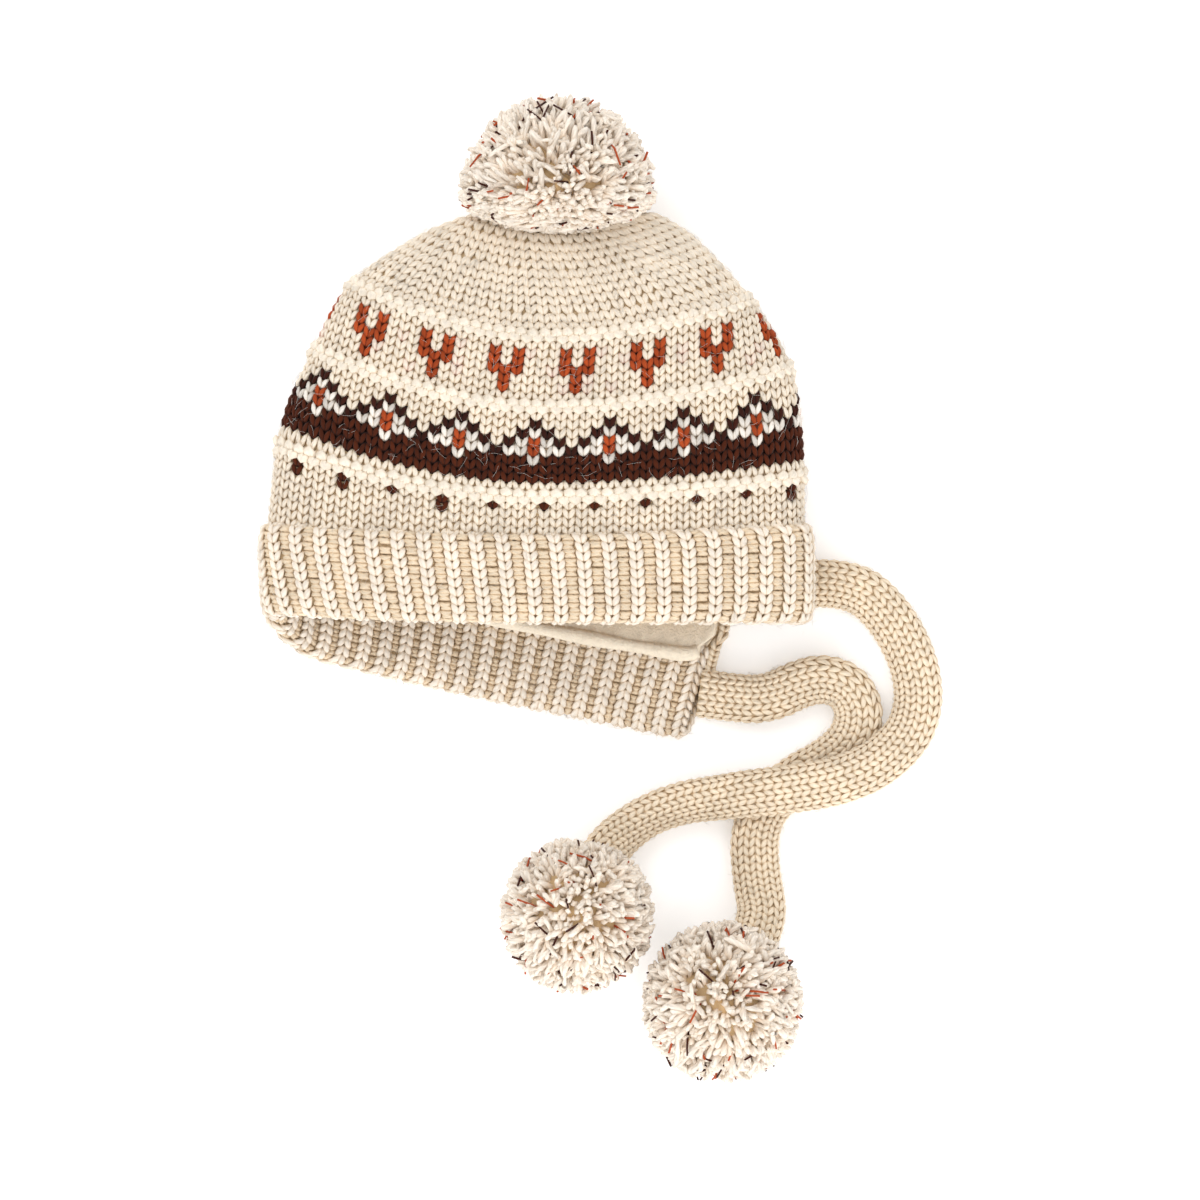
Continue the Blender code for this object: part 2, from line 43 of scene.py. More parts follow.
hat = {  # the sizes of the part's source, in metres; the last ones are shares and angles
    "width": 0.250, "crownHeight": 0.148, "thickness": 0.060, "cuffHeight": 0.0385,
    "cuffWall": 0.0095, "cuffProud": 0.0045, "knitWall": 0.0045, "slitLength": 0.044,
    "farDrop": 0.0385, "farTilt": 0.0230, "loopPower": 2.8, "flatShare": 0.88, "sagPower": 1.9,
    "slitAngle": -0.25, "farEnd": 0.709, "leftSlide": (math.pi - 0.15, math.pi + 0.70),
    "slitPower": 1.6, "rightSlide": (tau - 1.10, tau - 0.25),
}
# rows: near, rise left, rise right, left, right, thick, lift, far
crownRows = np.array((
    (0.000, 0.034, 0.034, 1.000, 0.997, 0.93, 0.00, 1.00),
    (0.119, 0.155, 0.062, 0.966, 0.996, 0.97, 0.00, 0.88),
    (0.390, 0.178, 0.122, 0.831, 0.947, 1.00, 0.00, 0.61),
    (0.604, 0.165, 0.113, 0.692, 0.801, 0.98, 0.00, 0.40),
    (0.750, 0.116, 0.110, 0.534, 0.648, 0.91, 0.02, 0.25),
    (0.872, 0.076, 0.076, 0.343, 0.518, 0.75, 0.08, 0.13),
    (0.945, 0.040, 0.040, 0.193, 0.404, 0.56, 0.17, 0.06),
    (0.985, 0.012, 0.012, 0.062, 0.238, 0.36, 0.27, 0.02),
    (1.000, 0.000, 0.000, -0.010, 0.150, 0.22, 0.34, 0.00),
))
# upper edge and rim: rise left, rise right, left, right, thick, far, end
cuffRows = np.array((
    (0.034, 0.034, 1.000, 0.997, 0.93, 1.00, 0.658),
    (0.027, 0.000, 0.990, 0.997, 0.87, 1.03, 0.558),
))
brimY = (hat["cuffHeight"] - hat["crownHeight"]) / 2
halfCrown = hat["width"] / 2 - hat["cuffProud"]
loopSamples = 721  # angles at which a loop is measured
lowest = 0.0002  # no yarn comes closer to the floor


# surfaces of the crown and the cuff, read as rows round the hat
def smoothColumns(places, table, at):
    # each column of the table is a cubic through its rows, read at the places asked for
    slopes = np.gradient(table, places, axis=0)
    at = np.clip(at, places[0], places[-1])
    low = np.clip(np.searchsorted(places, at, side="right") - 1, 0, len(places) - 2)
    span = (places[low + 1] - places[low])[..., None]
    part = (at - places[low])[..., None] / span
    return (
        table[low] * (1 + 2 * part) * (1 - part) ** 2
        + slopes[low] * span * part * (1 - part) ** 2
        + table[low + 1] * part**2 * (3 - 2 * part)
        + slopes[low + 1] * span * part**2 * (part - 1)
    )


def ease(low, high, value):
    part = np.clip((value - low) / (high - low), 0.0, 1.0)
    return part * part * (3 - 2 * part)


def crownRow(height):
    # lengths of the crown's row at these shares of its height
    height = np.asarray(height, float)
    values = np.moveaxis(smoothColumns(crownRows[:, 0], crownRows, height), -1, 0)
    return {
        "near": brimY + hat["crownHeight"] * height,
        "riseLeft": hat["crownHeight"] * values[1], "riseRight": hat["crownHeight"] * values[2],
        "left": halfCrown * values[3], "right": halfCrown * values[4],
        "thick": hat["thickness"] * values[5], "lift": hat["thickness"] * np.maximum(values[6], 0),
        "drop": hat["farDrop"] * values[7], "tilt": hat["farTilt"] * values[7],
    }


def cuffRow(down):
    values = (1 - down) * cuffRows[0] + down * cuffRows[1]
    return {
        "near": brimY - hat["cuffHeight"] * down,
        "riseLeft": hat["crownHeight"] * values[0], "riseRight": hat["crownHeight"] * values[1],
        "left": halfCrown * values[2], "right": halfCrown * values[3],
        "thick": hat["thickness"] * values[4], "lift": 0.0,
        "drop": hat["farDrop"] * values[5], "tilt": hat["farTilt"] * values[5], "end": values[6],
    }


def asColumns(row):
    # the lengths of many rows as columns, to be combined with many angles
    return {key: value if np.ndim(value) == 0 else value[:, None] for key, value in row.items()}


def signedPower(values, power):
    return np.sign(values) * np.abs(values) ** power


def farAngle(share):
    return tau - math.acos(min(share, 1.0) ** (hat["loopPower"] / 2))


def slitEnd(height):
    # angle of the slit's far edge, which closes on the near edge at the slit's top
    share = np.clip(height * hat["crownHeight"] / hat["slitLength"], 0.0, 1.0) ** hat["slitPower"]
    return farAngle(hat["farEnd"]) * (1 - share) + (tau + hat["slitAngle"]) * share


def loopPoints(row, angles, out, bottom):
    # a flattened superellipse, grown by out, cut flat at the floor; its line lies higher at both
    # sides and slides down to the far face's line round the left fold
    across = signedPower(np.cos(angles), 2 / hat["loopPower"])
    over = signedPower(np.sin(angles), 2 / hat["loopPower"])
    share = np.clip((over + hat["flatShare"]) / (1 + hat["flatShare"]), 0.0, 1.0)
    middle = (row["right"] - row["left"]) / 2
    half = (row["right"] + row["left"]) / 2 + out
    rise = np.where(across < 0, row["riseLeft"], row["riseRight"]) * np.abs(across) ** hat["sagPower"]
    far = (row["drop"] + row["tilt"] * across) * (
        ease(*hat["leftSlide"], angles) - ease(*hat["rightSlide"], angles)
    )
    floor = row["lift"] - out
    ceiling = row["lift"] + row["thick"] + out
    height = np.maximum(floor + (ceiling - floor) * share, row["lift"] + bottom)
    places = (middle + half * across, row["near"] + rise - far, height)
    return np.stack(np.broadcast_arrays(*places), axis=-1)


def unit(vectors):
    return vectors / np.maximum(np.linalg.norm(vectors, axis=-1, keepdims=True), 1e-12)


def walked(points, axis=0):
    # length walked along a line of points, from 0
    steps = np.linalg.norm(np.diff(points, axis=axis), axis=-1)
    start = np.zeros_like(np.take(steps, [0], axis=axis))
    return np.concatenate((start, np.cumsum(steps, axis=axis)), axis=axis)


def evenAngles(row, end, share):
    # angles from the slit's near edge to end, at these shares of the length round the row
    dense = np.linspace(hat["slitAngle"], end, loopSamples)
    length = walked(loopPoints(row, dense, 0.0, 0.0))
    return np.interp(share * length[-1], length, dense)


def makePatch(points, uStart, uStep, vStart, vStep, wrapU, middle):
    # a grid of points (v by u) with its outward normals, to be read between its points
    if wrapU:
        padded = np.concatenate((points[:, -2:-1], points, points[:, 1:2]), axis=1)
        alongU = (padded[:, 2:] - padded[:, :-2]) / 2
    else:
        alongU = np.gradient(points, axis=1)
    normals = unit(np.cross(np.gradient(points, axis=0), alongU))
    if np.median((normals * (points - middle)).sum(axis=-1)) < 0:
        normals = -normals
    return {"points": points, "normals": normals, "wrapU": wrapU,
            "u": (uStart, uStep), "v": (vStart, vStep)}


def readPatch(patch, u, v, out=0.0):
    # bilinear reading of the grid, moved along its normal by out; returns points and normals
    rows, columns = patch["points"].shape[0] - 1, patch["points"].shape[1] - 1
    a = (u - patch["u"][0]) / patch["u"][1]
    b = np.clip((v - patch["v"][0]) / patch["v"][1], 0, rows)
    a = a % columns if patch["wrapU"] else np.clip(a, 0, columns)
    i, j = np.minimum(a.astype(int), columns - 1), np.minimum(b.astype(int), rows - 1)
    a, b = (a - i)[..., None], (b - j)[..., None]

    def mix(grid):
        return (grid[j, i] * (1 - a) + grid[j, i + 1] * a) * (1 - b) + (
            grid[j + 1, i] * (1 - a) + grid[j + 1, i + 1] * a) * b

    points, normals = mix(patch["points"]), unit(mix(patch["normals"]))
    return points + normals * np.asarray(out)[..., None], normals


# meshes, with a cell of the bake map for each tube; its places are shares of the cell
cell = {"margin": 0.06, "start": 0.1, "length": 0.8, "capsAt": (0.045, 0.955), "capReach": (0.3, 0.03)}
underside = {"least": 0.42, "turn": 0.60}  # how much of the shade the sides and the underside take
fanPly = 20.0  # millimetres of yarn that the map of a fan spans


def cellPlaces(count, region):
    # splits a region of the bake map into a cell for each tube
    x0, y0, x1, y1 = region
    columns = max(1, math.ceil(math.sqrt(count * (x1 - x0) / (y1 - y0) * 2)))
    rows = math.ceil(count / columns)
    number = np.arange(count)
    size = np.array(((x1 - x0) / columns, (y1 - y0) / rows))
    corner = np.stack((x0 + number % columns * size[0], y0 + number // columns * size[1]), axis=-1)
    return corner + size * cell["margin"], size * (1 - 2 * cell["margin"])


def tubeGroup(centres, normals, wide, high, sides, tints, region, paintedUnderShade=None):
    # tubes carried along rows of points: each ring is an oval, wide across the surface, high out of
    # it; their undersides may take a painted shade colour
    count, rings = centres.shape[:2]
    along = unit(np.gradient(centres, axis=1))
    across = unit(np.cross(along, normals))
    outward = np.cross(across, along)
    turn = tau * np.arange(sides) / sides + tau / 4
    wide, high = np.broadcast_to(wide, (count, rings)), np.broadcast_to(high, (count, rings))
    points = (
        centres[:, :, None]
        + across[:, :, None] * (wide[..., None] * np.cos(turn))[..., None]
        + outward[:, :, None] * (high[..., None] * np.sin(turn))[..., None]
    )
    points[..., 2] = np.maximum(points[..., 2], lowest)
    index = np.arange(count * rings * sides).reshape(count, rings, sides)
    beside = np.roll(index, -1, axis=2)
    quads = np.stack((index[:, :-1], index[:, 1:], beside[:, 1:], beside[:, :-1]), axis=-1)
    side, ring = np.meshgrid(np.arange(sides), np.arange(rings - 1))
    uvU = np.stack((side, side, side + 1, side + 1), axis=-1) / sides
    share = np.stack((ring, ring + 1, ring + 1, ring), axis=-1)
    lengths = walked(centres, axis=1) / mm
    corner, size = cellPlaces(count, region)
    bakeV = cell["start"] + cell["length"] * share / (rings - 1)
    bake = corner[:, None, None, None] + size * np.stack(np.broadcast_arrays(uvU, bakeV), axis=-1)[None]
    ply = np.stack(np.broadcast_arrays(uvU[None], lengths[:, share]), axis=-1)
    faces = [(quads.reshape(-1, 4), ply.reshape(-1, 4, 2), bake.reshape(-1, 4, 2))]
    capWide, capHigh = cell["capReach"]
    for ends, ring, spot in zip((index[:, 0], index[:, -1, ::-1]), (0, -1), cell["capsAt"]):
        around = np.stack((0.5 + capWide * np.cos(turn), spot + capHigh * np.sin(turn)), axis=-1)
        flat = np.stack(np.broadcast_arrays((turn / tau)[None], lengths[:, ring][:, None]), axis=-1)
        faces.append((ends, flat, corner[:, None] + size * around[None]))
    tints = np.broadcast_to(tints[:, :, None] if tints.ndim == 3 else tints[:, None, None],
                            (count, rings, sides, 3))
    # painted shade: the sides and the underside of each tube take the shade colour
    if paintedUnderShade is not None:
        share = np.clip(underside["least"] - underside["turn"] * np.sin(turn), 0.0, 1.0)[:, None]
        tints = tints * (1 - share) + paintedUnderShade[:, None, None] * share
    return {"points": points.reshape(-1, 3), "faces": faces, "tints": tints.reshape(-1, 3)}


def gridFaces(index, region, scale):
    # quads of a grid of point numbers, with a part of the bake map and a ply map in millimetres
    rows, columns = index.shape[0] - 1, index.shape[1] - 1
    quads = np.stack((index[:-1, :-1], index[:-1, 1:], index[1:, 1:], index[1:, :-1]), axis=-1)
    j, i = np.meshgrid(np.arange(columns), np.arange(rows))
    u = np.stack((j, j + 1, j + 1, j), axis=-1) / columns
    v = np.stack((i, i, i + 1, i + 1), axis=-1) / rows
    x0, y0, x1, y1 = region
    bake = np.stack((x0 + (x1 - x0) * u, y0 + (y1 - y0) * v), axis=-1)
    ply = np.stack((u * scale[0], v * scale[1]), axis=-1)
    return quads.reshape(-1, 4), ply.reshape(-1, 4, 2), bake.reshape(-1, 4, 2)


def ringIndex(rings, columns):
    # point numbers of closed rings, the first column again at the end
    index = np.arange(rings * columns).reshape(rings, columns)
    return np.concatenate((index, index[:, :1]), axis=1)


def turned(faces):
    return tuple(part[:, ::-1] for part in faces)


def fanFaces(ring, hub, region):
    # a fan of triangles that closes a ring on its hub
    count = len(ring)
    turn = tau * np.arange(count + 1) / count
    x0, y0, x1, y1 = region
    middle, reach = np.array(((x0 + x1) / 2, (y0 + y1) / 2)), np.array(((x1 - x0) / 2, (y1 - y0) / 2))
    edge = middle + reach * np.stack((np.cos(turn), np.sin(turn)), axis=-1)
    tris = np.stack((ring, np.roll(ring, -1), np.full(count, hub)), axis=-1)
    bake = np.stack((edge[:-1], edge[1:], np.broadcast_to(middle, (count, 2))), axis=1)
    return tris, bake * fanPly, bake


made = []  # triangles of each piece


def buildPiece(name, groups, material):
    # joins groups of points and faces into one mesh with its two maps and its yarn tint
    points = np.concatenate([group["points"] for group in groups])
    tints = np.concatenate([group["tints"] for group in groups])
    starts = np.cumsum([0] + [len(group["points"]) for group in groups])
    faces = [(f[0] + start, f[1], f[2]) for group, start in zip(groups, starts) for f in group["faces"]]
    totals = np.concatenate([np.full(len(f[0]), f[0].shape[1]) for f in faces])
    corners = np.concatenate([f[0].ravel() for f in faces])
    used, corners = np.unique(corners, return_inverse=True)
    points, tints = points[used], tints[used]
    mesh = bpy.data.meshes.new(name)
    mesh.vertices.add(len(points))
    mesh.vertices.foreach_set("co", points.astype(np.float32).ravel())
    mesh.loops.add(len(corners))
    mesh.loops.foreach_set("vertex_index", corners.ravel().astype(np.int32))
    mesh.polygons.add(len(totals))
    loopStarts = np.concatenate(([0], np.cumsum(totals)[:-1]))
    mesh.polygons.foreach_set("loop_start", loopStarts.astype(np.int32))
    mesh.update(calc_edges=True)
    for mapName, part in (("yarnMap", 1), ("OFBake", 2)):
        layer = mesh.uv_layers.new(name=mapName)
        values = np.concatenate([f[part].reshape(-1, 2) for f in faces])
        layer.uv.foreach_set("vector", values.astype(np.float32).ravel())
    attribute = mesh.color_attributes.new("yarnTint", "FLOAT_COLOR", "POINT")
    attribute.data.foreach_set("color", np.c_[tints, np.ones(len(tints))].astype(np.float32).ravel())
    mesh.shade_smooth()
    mesh.materials.append(material)
    piece = bpy.data.objects.new(name, mesh)
    bpy.context.scene.collection.objects.link(piece)
    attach(piece, "root")
    triangles = int((totals - 2).sum())
    made.append(triangles)
    print(f"{name}: {triangles} triangles, {sum(made)} so far")
    return piece


# colours and materials
def toLinear(hexColour):
    values = np.array([int(hexColour[k:k + 2], 16) for k in (1, 3, 5)]) / 255
    return np.where(values <= 0.04045, values / 12.92, ((values + 0.055) / 1.055) ** 2.4)


def addNode(tree, kind, links=(), **settings):
    # adds a node; settings are its properties or, where it has none of that name, its sockets
    node = tree.nodes.new(kind)
    for key, value in settings.items():
        if hasattr(node, key):
            setattr(node, key, value)
        else:
            node.inputs[key.replace("_", " ")].default_value = value
    for socket, source in links:
        tree.links.new(source, node.inputs[socket])
    return node


# each yarn's shade colour is painted shade, laid where the yarn dives under its neighbours and on its
# underside
yarn = {
    # the gap colour is painted shade for the walls seen through the holes between stitches
    # the raised rows' colour is the cream lightened: painted light where they stand proud
    "light": "#F3E8D8", "shade": "#E2C69F", "gap": "#E2C79F", "ridgeLit": "#F8EDDD", "ridgeShade": "#EEDABD",
    # the rib colour is the cream lightened: painted light on the proud ribs
    # the valley colours are the cream darkened: painted shade in the recessed purl valleys
    "rib": "#F9EFE2", "valley": "#EFDDC3", "valleyShade": "#DFC39E",
    "tie": "#F6E7D0", "tieShade": "#DFBD90",
    "brown": "#502009", "brownShade": "#260C04", "outline": "#3A1407", "outlineShade": "#1A0703",
    "petal": "#EBE5DD", "petalShade": "#CDB79C", "rust": "#B04A20", "rustShade": "#6E2D12",
    # the pompom's middle colour is painted shade deep inside the ball
    "pompom": "#FBF0E2", "pompomShade": "#E0BB90", "pompomCoreShade": "#D8B88C", "pompomDark": "#451A0D",
    # the fleece's shade colour is painted shade deeper inside the hat
    "pompomRust": "#B8532C", "fleece": "#FFF2DC", "fleeceShade": "#F8D09C",
}


def newMaterial(name, **surface):
    material = bpy.data.materials.new(name)
    material.use_nodes = True
    shader = material.node_tree.nodes["Principled BSDF"]
    for key, value in surface.items():
        shader.inputs[key.replace("_", " ")].default_value = value
    return material, material.node_tree, shader


def mapRange(tree, source, low, high, toLow, toHigh):
    return addNode(tree, "ShaderNodeMapRange", [(0, source)],
                   From_Min=low, From_Max=high, To_Min=toLow, To_Max=toHigh).outputs[0]


def joinSurface(tree, shader, strength, height, **bumpSettings):
    # base colour = yarn tint times strength; the bump rises with height
    tint = addNode(tree, "ShaderNodeAttribute", attribute_name="yarnTint")
    colour = addNode(tree, "ShaderNodeVectorMath", [(0, tint.outputs["Color"])], operation="SCALE")
    bump = addNode(tree, "ShaderNodeBump", [("Height", height)], **bumpSettings)
    tree.links.new(strength, colour.inputs["Scale"])
    tree.links.new(colour.outputs[0], shader.inputs["Base Color"])
    tree.links.new(bump.outputs[0], shader.inputs["Normal"])


def woolMaterial(name, plyPitch, grooves, fibreScale, sheen):
    # spun wool: three soft plies twisted round each other show as slanting grooves, and its loose
    # fibres scatter light at the edge, which the sheen gives
    # height = grooves * sin(3 turns around + 1 turn for each plyPitch along) + noise of the fibres
    # strength = 0.95 to 1.05 with the patches times 0.90 to 1.05 with the height, a painted shade in the
    # ply grooves
    material, tree, shader = newMaterial(name, Roughness=0.92, Specular_IOR_Level=0.2,
                                         Sheen_Weight=sheen, Sheen_Roughness=0.5)
    place = addNode(tree, "ShaderNodeTexCoord").outputs["Object"]
    yarnMap = addNode(tree, "ShaderNodeUVMap", uv_map="yarnMap")
    parts = addNode(tree, "ShaderNodeSeparateXYZ", [(0, yarnMap.outputs[0])])
    around = addNode(tree, "ShaderNodeMath", [(0, parts.outputs[0])], operation="MULTIPLY")
    around.inputs[1].default_value = tau * 3
    twist = addNode(tree, "ShaderNodeMath", [(0, parts.outputs[1]), (2, around.outputs[0])],
                    operation="MULTIPLY_ADD")
    twist.inputs[1].default_value = tau / plyPitch  # yarnMap's second value is in millimetres
    ply = addNode(tree, "ShaderNodeMath", [(0, twist.outputs[0])], operation="SINE")
    fibres = addNode(tree, "ShaderNodeTexNoise", [("Vector", place)],
                     Scale=fibreScale, Detail=3.0, Roughness=0.6)  # 0.5 to 0.7 mm tufts of fibre
    patches = addNode(tree, "ShaderNodeTexNoise", [("Vector", place)],
                      Scale=70.0, Detail=2.0)  # 14 mm: dye and light vary along a yarn
    height = addNode(tree, "ShaderNodeMath", [(0, ply.outputs[0]), (2, fibres.outputs[0])],
                     operation="MULTIPLY_ADD")
    height.inputs[1].default_value = grooves
    tone = mapRange(tree, patches.outputs[0], 0.3, 0.7, 0.95, 1.05)
    grooveShade = mapRange(tree, height.outputs[0], 0.1, 0.9, 0.90, 1.05)
    strength = addNode(tree, "ShaderNodeMath", [(0, tone), (1, grooveShade)], operation="MULTIPLY")
    joinSurface(tree, shader, strength.outputs[0], height.outputs[0], Strength=0.55, Distance=0.0005)
    return material


def fleeceMaterial(name):
    # brushed polyester fleece: a matt pile without a weave, lighter where its tips catch the light
    # height = noise of the pile + noise of its clumps; strength = 0.90 to 1.06 with the height
    material, tree, shader = newMaterial(name, Roughness=1.0, Specular_IOR_Level=0.1,
                                         Sheen_Weight=0.1, Sheen_Roughness=0.6)
    place = addNode(tree, "ShaderNodeTexCoord").outputs["Object"]
    pile = addNode(tree, "ShaderNodeTexNoise", [("Vector", place)],
                   Scale=900.0, Detail=4.0, Roughness=0.65)  # 1.1 mm tufts
    clumps = addNode(tree, "ShaderNodeTexNoise", [("Vector", place)],
                     Scale=260.0, Detail=3.0)  # 4 mm clumps of pile
    height = addNode(tree, "ShaderNodeMath", [(0, clumps.outputs[0]), (1, pile.outputs[0])],
                     operation="ADD").outputs[0]
    strength = mapRange(tree, height, 0.7, 1.3, 0.90, 1.06)
    joinSurface(tree, shader, strength, height, Strength=0.7, Distance=0.0009)
    return material


chunkyWool = woolMaterial("chunky spun wool", 6.0, 0.30, 1900.0, 0.04)
cutWool = woolMaterial("cut wool ends", 5.0, 0.35, 1500.0, 0.10)
cordWool = woolMaterial("knitted wool cord", 6.0, 0.30, 1900.0, 0.04)
brushedFleece = fleeceMaterial("brushed fleece")


# camera, light and floor; the photo's pixels are named values
view = {"perPixel": 0.000452, "zeroX": 536.5, "zeroY": 414.9, "image": 1200, "distance": 4.0,
        "focus": 0.03, "sensor": 36.0}
studio = {"floorReach": 4.0, "floorWhite": 0.95, "floorGlow": 0.28, "world": 0.86,
          "aim": (0.0, -0.05, 0.0)}
lamps = (  # name, size, power, place
    ("key", 1.0, 10.0, (-0.8, 0.9, 1.6)), ("fill", 2.0, 6.0, (1.2, -0.5, 1.9)),
    ("front", 1.2, 10.0, (0.15, -1.4, 0.7)),
)
cameraData = bpy.data.cameras.new("camera")
cameraData.sensor_width = view["sensor"]
cameraData.lens = view["sensor"] * view["distance"] / (view["image"] * view["perPixel"])
camera = bpy.data.objects.new("camera", cameraData)
camera.location = ((view["image"] / 2 - view["zeroX"]) * view["perPixel"],
                   (view["zeroY"] - view["image"] / 2) * view["perPixel"],
                   view["distance"] + view["focus"])
bpy.context.scene.collection.objects.link(camera)
bpy.context.scene.camera = camera

floorMesh = bpy.data.meshes.new("floor")
reach = studio["floorReach"]
floorMesh.from_pydata([(-reach, -reach, 0), (reach, -reach, 0), (reach, reach, 0), (-reach, reach, 0)],
                      [], [(0, 1, 2, 3)])
floor = bpy.data.objects.new("floor", floorMesh)
# white acrylic lit from below, so that shadows nearly vanish
acrylic = newMaterial(
    "light table", Base_Color=(*(studio["floorWhite"],) * 3, 1), Roughness=0.9,
    Emission_Color=(1.0, 1.0, 1.0, 1), Emission_Strength=studio["floorGlow"])[0]
floorMesh.materials.append(acrylic)
bpy.context.scene.collection.objects.link(floor)

world = bpy.data.worlds.new("soft studio")
world.use_nodes = True
world.node_tree.nodes["Background"].inputs["Color"].default_value = (1.0, 1.0, 1.0, 1)
world.node_tree.nodes["Background"].inputs["Strength"].default_value = studio["world"]
bpy.context.scene.world = world
# a studio shot on white, without a film curve
bpy.context.scene.view_settings.view_transform = "Standard"
for lampName, size, power, place in lamps:
    lampData = bpy.data.lights.new(lampName, "AREA")
    lampData.size, lampData.energy = size, power
    lamp = bpy.data.objects.new(lampName, lampData)
    lamp.location = place
    toward = unit(np.array(studio["aim"]) - np.array(place))
    lamp.rotation_euler = (math.acos(-toward[2]), 0.0, math.atan2(toward[1], toward[0]) - math.pi / 2)
    bpy.context.scene.collection.objects.link(lamp)
print("camera, light and floor")


# ties
tie = {"width": 0.0205, "thickness": 0.0120, "wales": 10, "rowPitch": 0.0040, "intoPompom": 0.0200,
       "ovalPower": 0.8, "step": 0.0020, "bodyInset": 0.0004, "lowest": 0.0004, "legWide": 0.00122,
       "legHigh": 0.00080, "legLift": 0.0007, "fuzzPerRow": 11, "fuzzReach": 0.5, "seed": 20}
perStitch = {"ovalColumns": 8}  # columns of the oval for each wale
perPoint = {"routeSamples": 40}  # samples for each point of the route
tieRoutes = (  # x, y, height of the centre line, roll in degrees, as in the part's source
    ((0.1140, -0.0764, 0.0061, 0), (0.1240, -0.0762, 0.0061, 0), (0.1350, -0.0764, 0.0062, 2),
     (0.1480, -0.0800, 0.0066, 8), (0.1578, -0.0886, 0.0068, 10), (0.1664, -0.1015, 0.0070, 12),
     (0.1722, -0.1170, 0.0072, 12), (0.1732, -0.1300, 0.0076, 8), (0.1698, -0.1420, 0.0092, 4),
     (0.1620, -0.1518, 0.0124, 0), (0.1508, -0.1598, 0.0170, -4), (0.1372, -0.1652, 0.0203, -8),
     (0.1191, -0.1687, 0.0210, -12), (0.1000, -0.1710, 0.0196, -18), (0.0840, -0.1732, 0.0150, -28),
     (0.0650, -0.1762, 0.0112, -40), (0.0480, -0.1832, 0.0102, -42), (0.0370, -0.1915, 0.0120, -30),
     (0.0300, -0.2000, 0.0180, -18), (0.0240, -0.2120, 0.0260, -8)),
    ((0.0757, -0.1262, 0.0064, 0), (0.0900, -0.1280, 0.0064, 0), (0.1000, -0.1286, 0.0064, 0),
     (0.1092, -0.1266, 0.0064, 4), (0.1190, -0.1222, 0.0068, 10), (0.1300, -0.1198, 0.0072, 12),
     (0.1402, -0.1232, 0.0072, 12), (0.1458, -0.1320, 0.0070, 10), (0.1452, -0.1422, 0.0066, 6),
     (0.1398, -0.1506, 0.0064, 0), (0.1310, -0.1576, 0.0064, 0), (0.1200, -0.1638, 0.0064, 0),
     (0.1090, -0.1722, 0.0064, 0), (0.1022, -0.1810, 0.0064, 0), (0.0992, -0.1920, 0.0064, 0),
     (0.0994, -0.2040, 0.0068, 0), (0.1008, -0.2150, 0.0090, 0), (0.1020, -0.2240, 0.0140, 0),
     (0.0996, -0.2342, 0.0215, 0), (0.0944, -0.2440, 0.0290, 0), (0.0890, -0.2530, 0.0345, 0)),
)
tiePompoms = (((0.0183, -0.2260), 0.071), ((0.0840, -0.2650), 0.074))


def tieLine(route, step, ball, inside):
    # even points along a cubic through the route, up to where the pompom hides the end
    route = np.array(route, float)
    places = walked(route[:, :3])
    samples = perPoint["routeSamples"] * len(route)
    dense = smoothColumns(places, route, np.linspace(0.0, places[-1], samples))
    length = walked(dense[:, :3])
    at = np.linspace(0.0, length[-1], max(8, round(length[-1] / step)) + 1)
    line = np.stack([np.interp(at, length, dense[:, k]) for k in range(4)], axis=1)
    near = np.linalg.norm(line[:, :3] - ball, axis=1) <= inside
    return line[: np.argmax(near) + 1] if near.any() else line


def ovalPatch(line, width, thickness, wales, rowPitch):
    # the flat oval carried along the line, level and then rolled; rows are sections, columns go round
    centre, roll = line[:, :3], np.radians(line[:, 3])[:, None]
    along = unit(np.gradient(centre, axis=0))
    side = unit(np.cross(along, (0.0, 0.0, 1.0)))
    up = np.cross(side, along)
    side, up = side * np.cos(roll) - up * np.sin(roll), up * np.cos(roll) + side * np.sin(roll)
    turn = np.linspace(0.0, tau, loopSamples)
    oval = np.stack((width / 2 * signedPower(np.cos(turn), tie["ovalPower"]),
                     thickness / 2 * np.sin(turn)), axis=-1)
    around = walked(oval)
    at = np.linspace(0.0, around[-1], perStitch["ovalColumns"] * wales + 1)
    oval = np.stack([np.interp(at, around, oval[:, k]) for k in range(2)], axis=-1)
    points = centre[:, None] + side[:, None] * oval[:, :1] + up[:, None] * oval[:, 1:]
    points[..., 2] = np.maximum(points[..., 2], tie["lowest"])
    step = np.linalg.norm(np.diff(centre, axis=0), axis=1).mean() / rowPitch
    return makePatch(points, 0.0, 1 / perStitch["ovalColumns"], 0.0, step, True, centre[:, None])


legForm = {"wideSpread": 0.08, "slide": 0.04, "slideUp": 1.5, "sides": 5, "floorSides": 3,
           "floorFacing": -0.3, "seenShare": 0.65}
# one leg of a stitch, from its tip: across (shares of a stitch), up (rows), out, width and shade
leg = np.array((
    (0.030, -0.68, -1.00, 0.38, 0.20),
    (0.125, -0.38, 0.15, 0.88, 0.80),
    (0.235, 0.00, 0.55, 1.06, 1.00),
    (0.345, 0.36, 0.30, 0.86, 0.90),
    (0.445, 0.68, -0.70, 0.32, 0.35),
))


def legTints(light, shade, amounts, spread, rng):
    # yarn colour along a leg: painted shade where it dives under its neighbours, each leg a little
    # different
    share = np.asarray(amounts)[None, :, None]
    vary = 1 + np.reshape(spread, (-1, 1, 1)) * (rng.random((len(light), 1, 1)) - 0.5)
    return (shade[:, None] * (1 - share) + light[:, None] * share) * vary


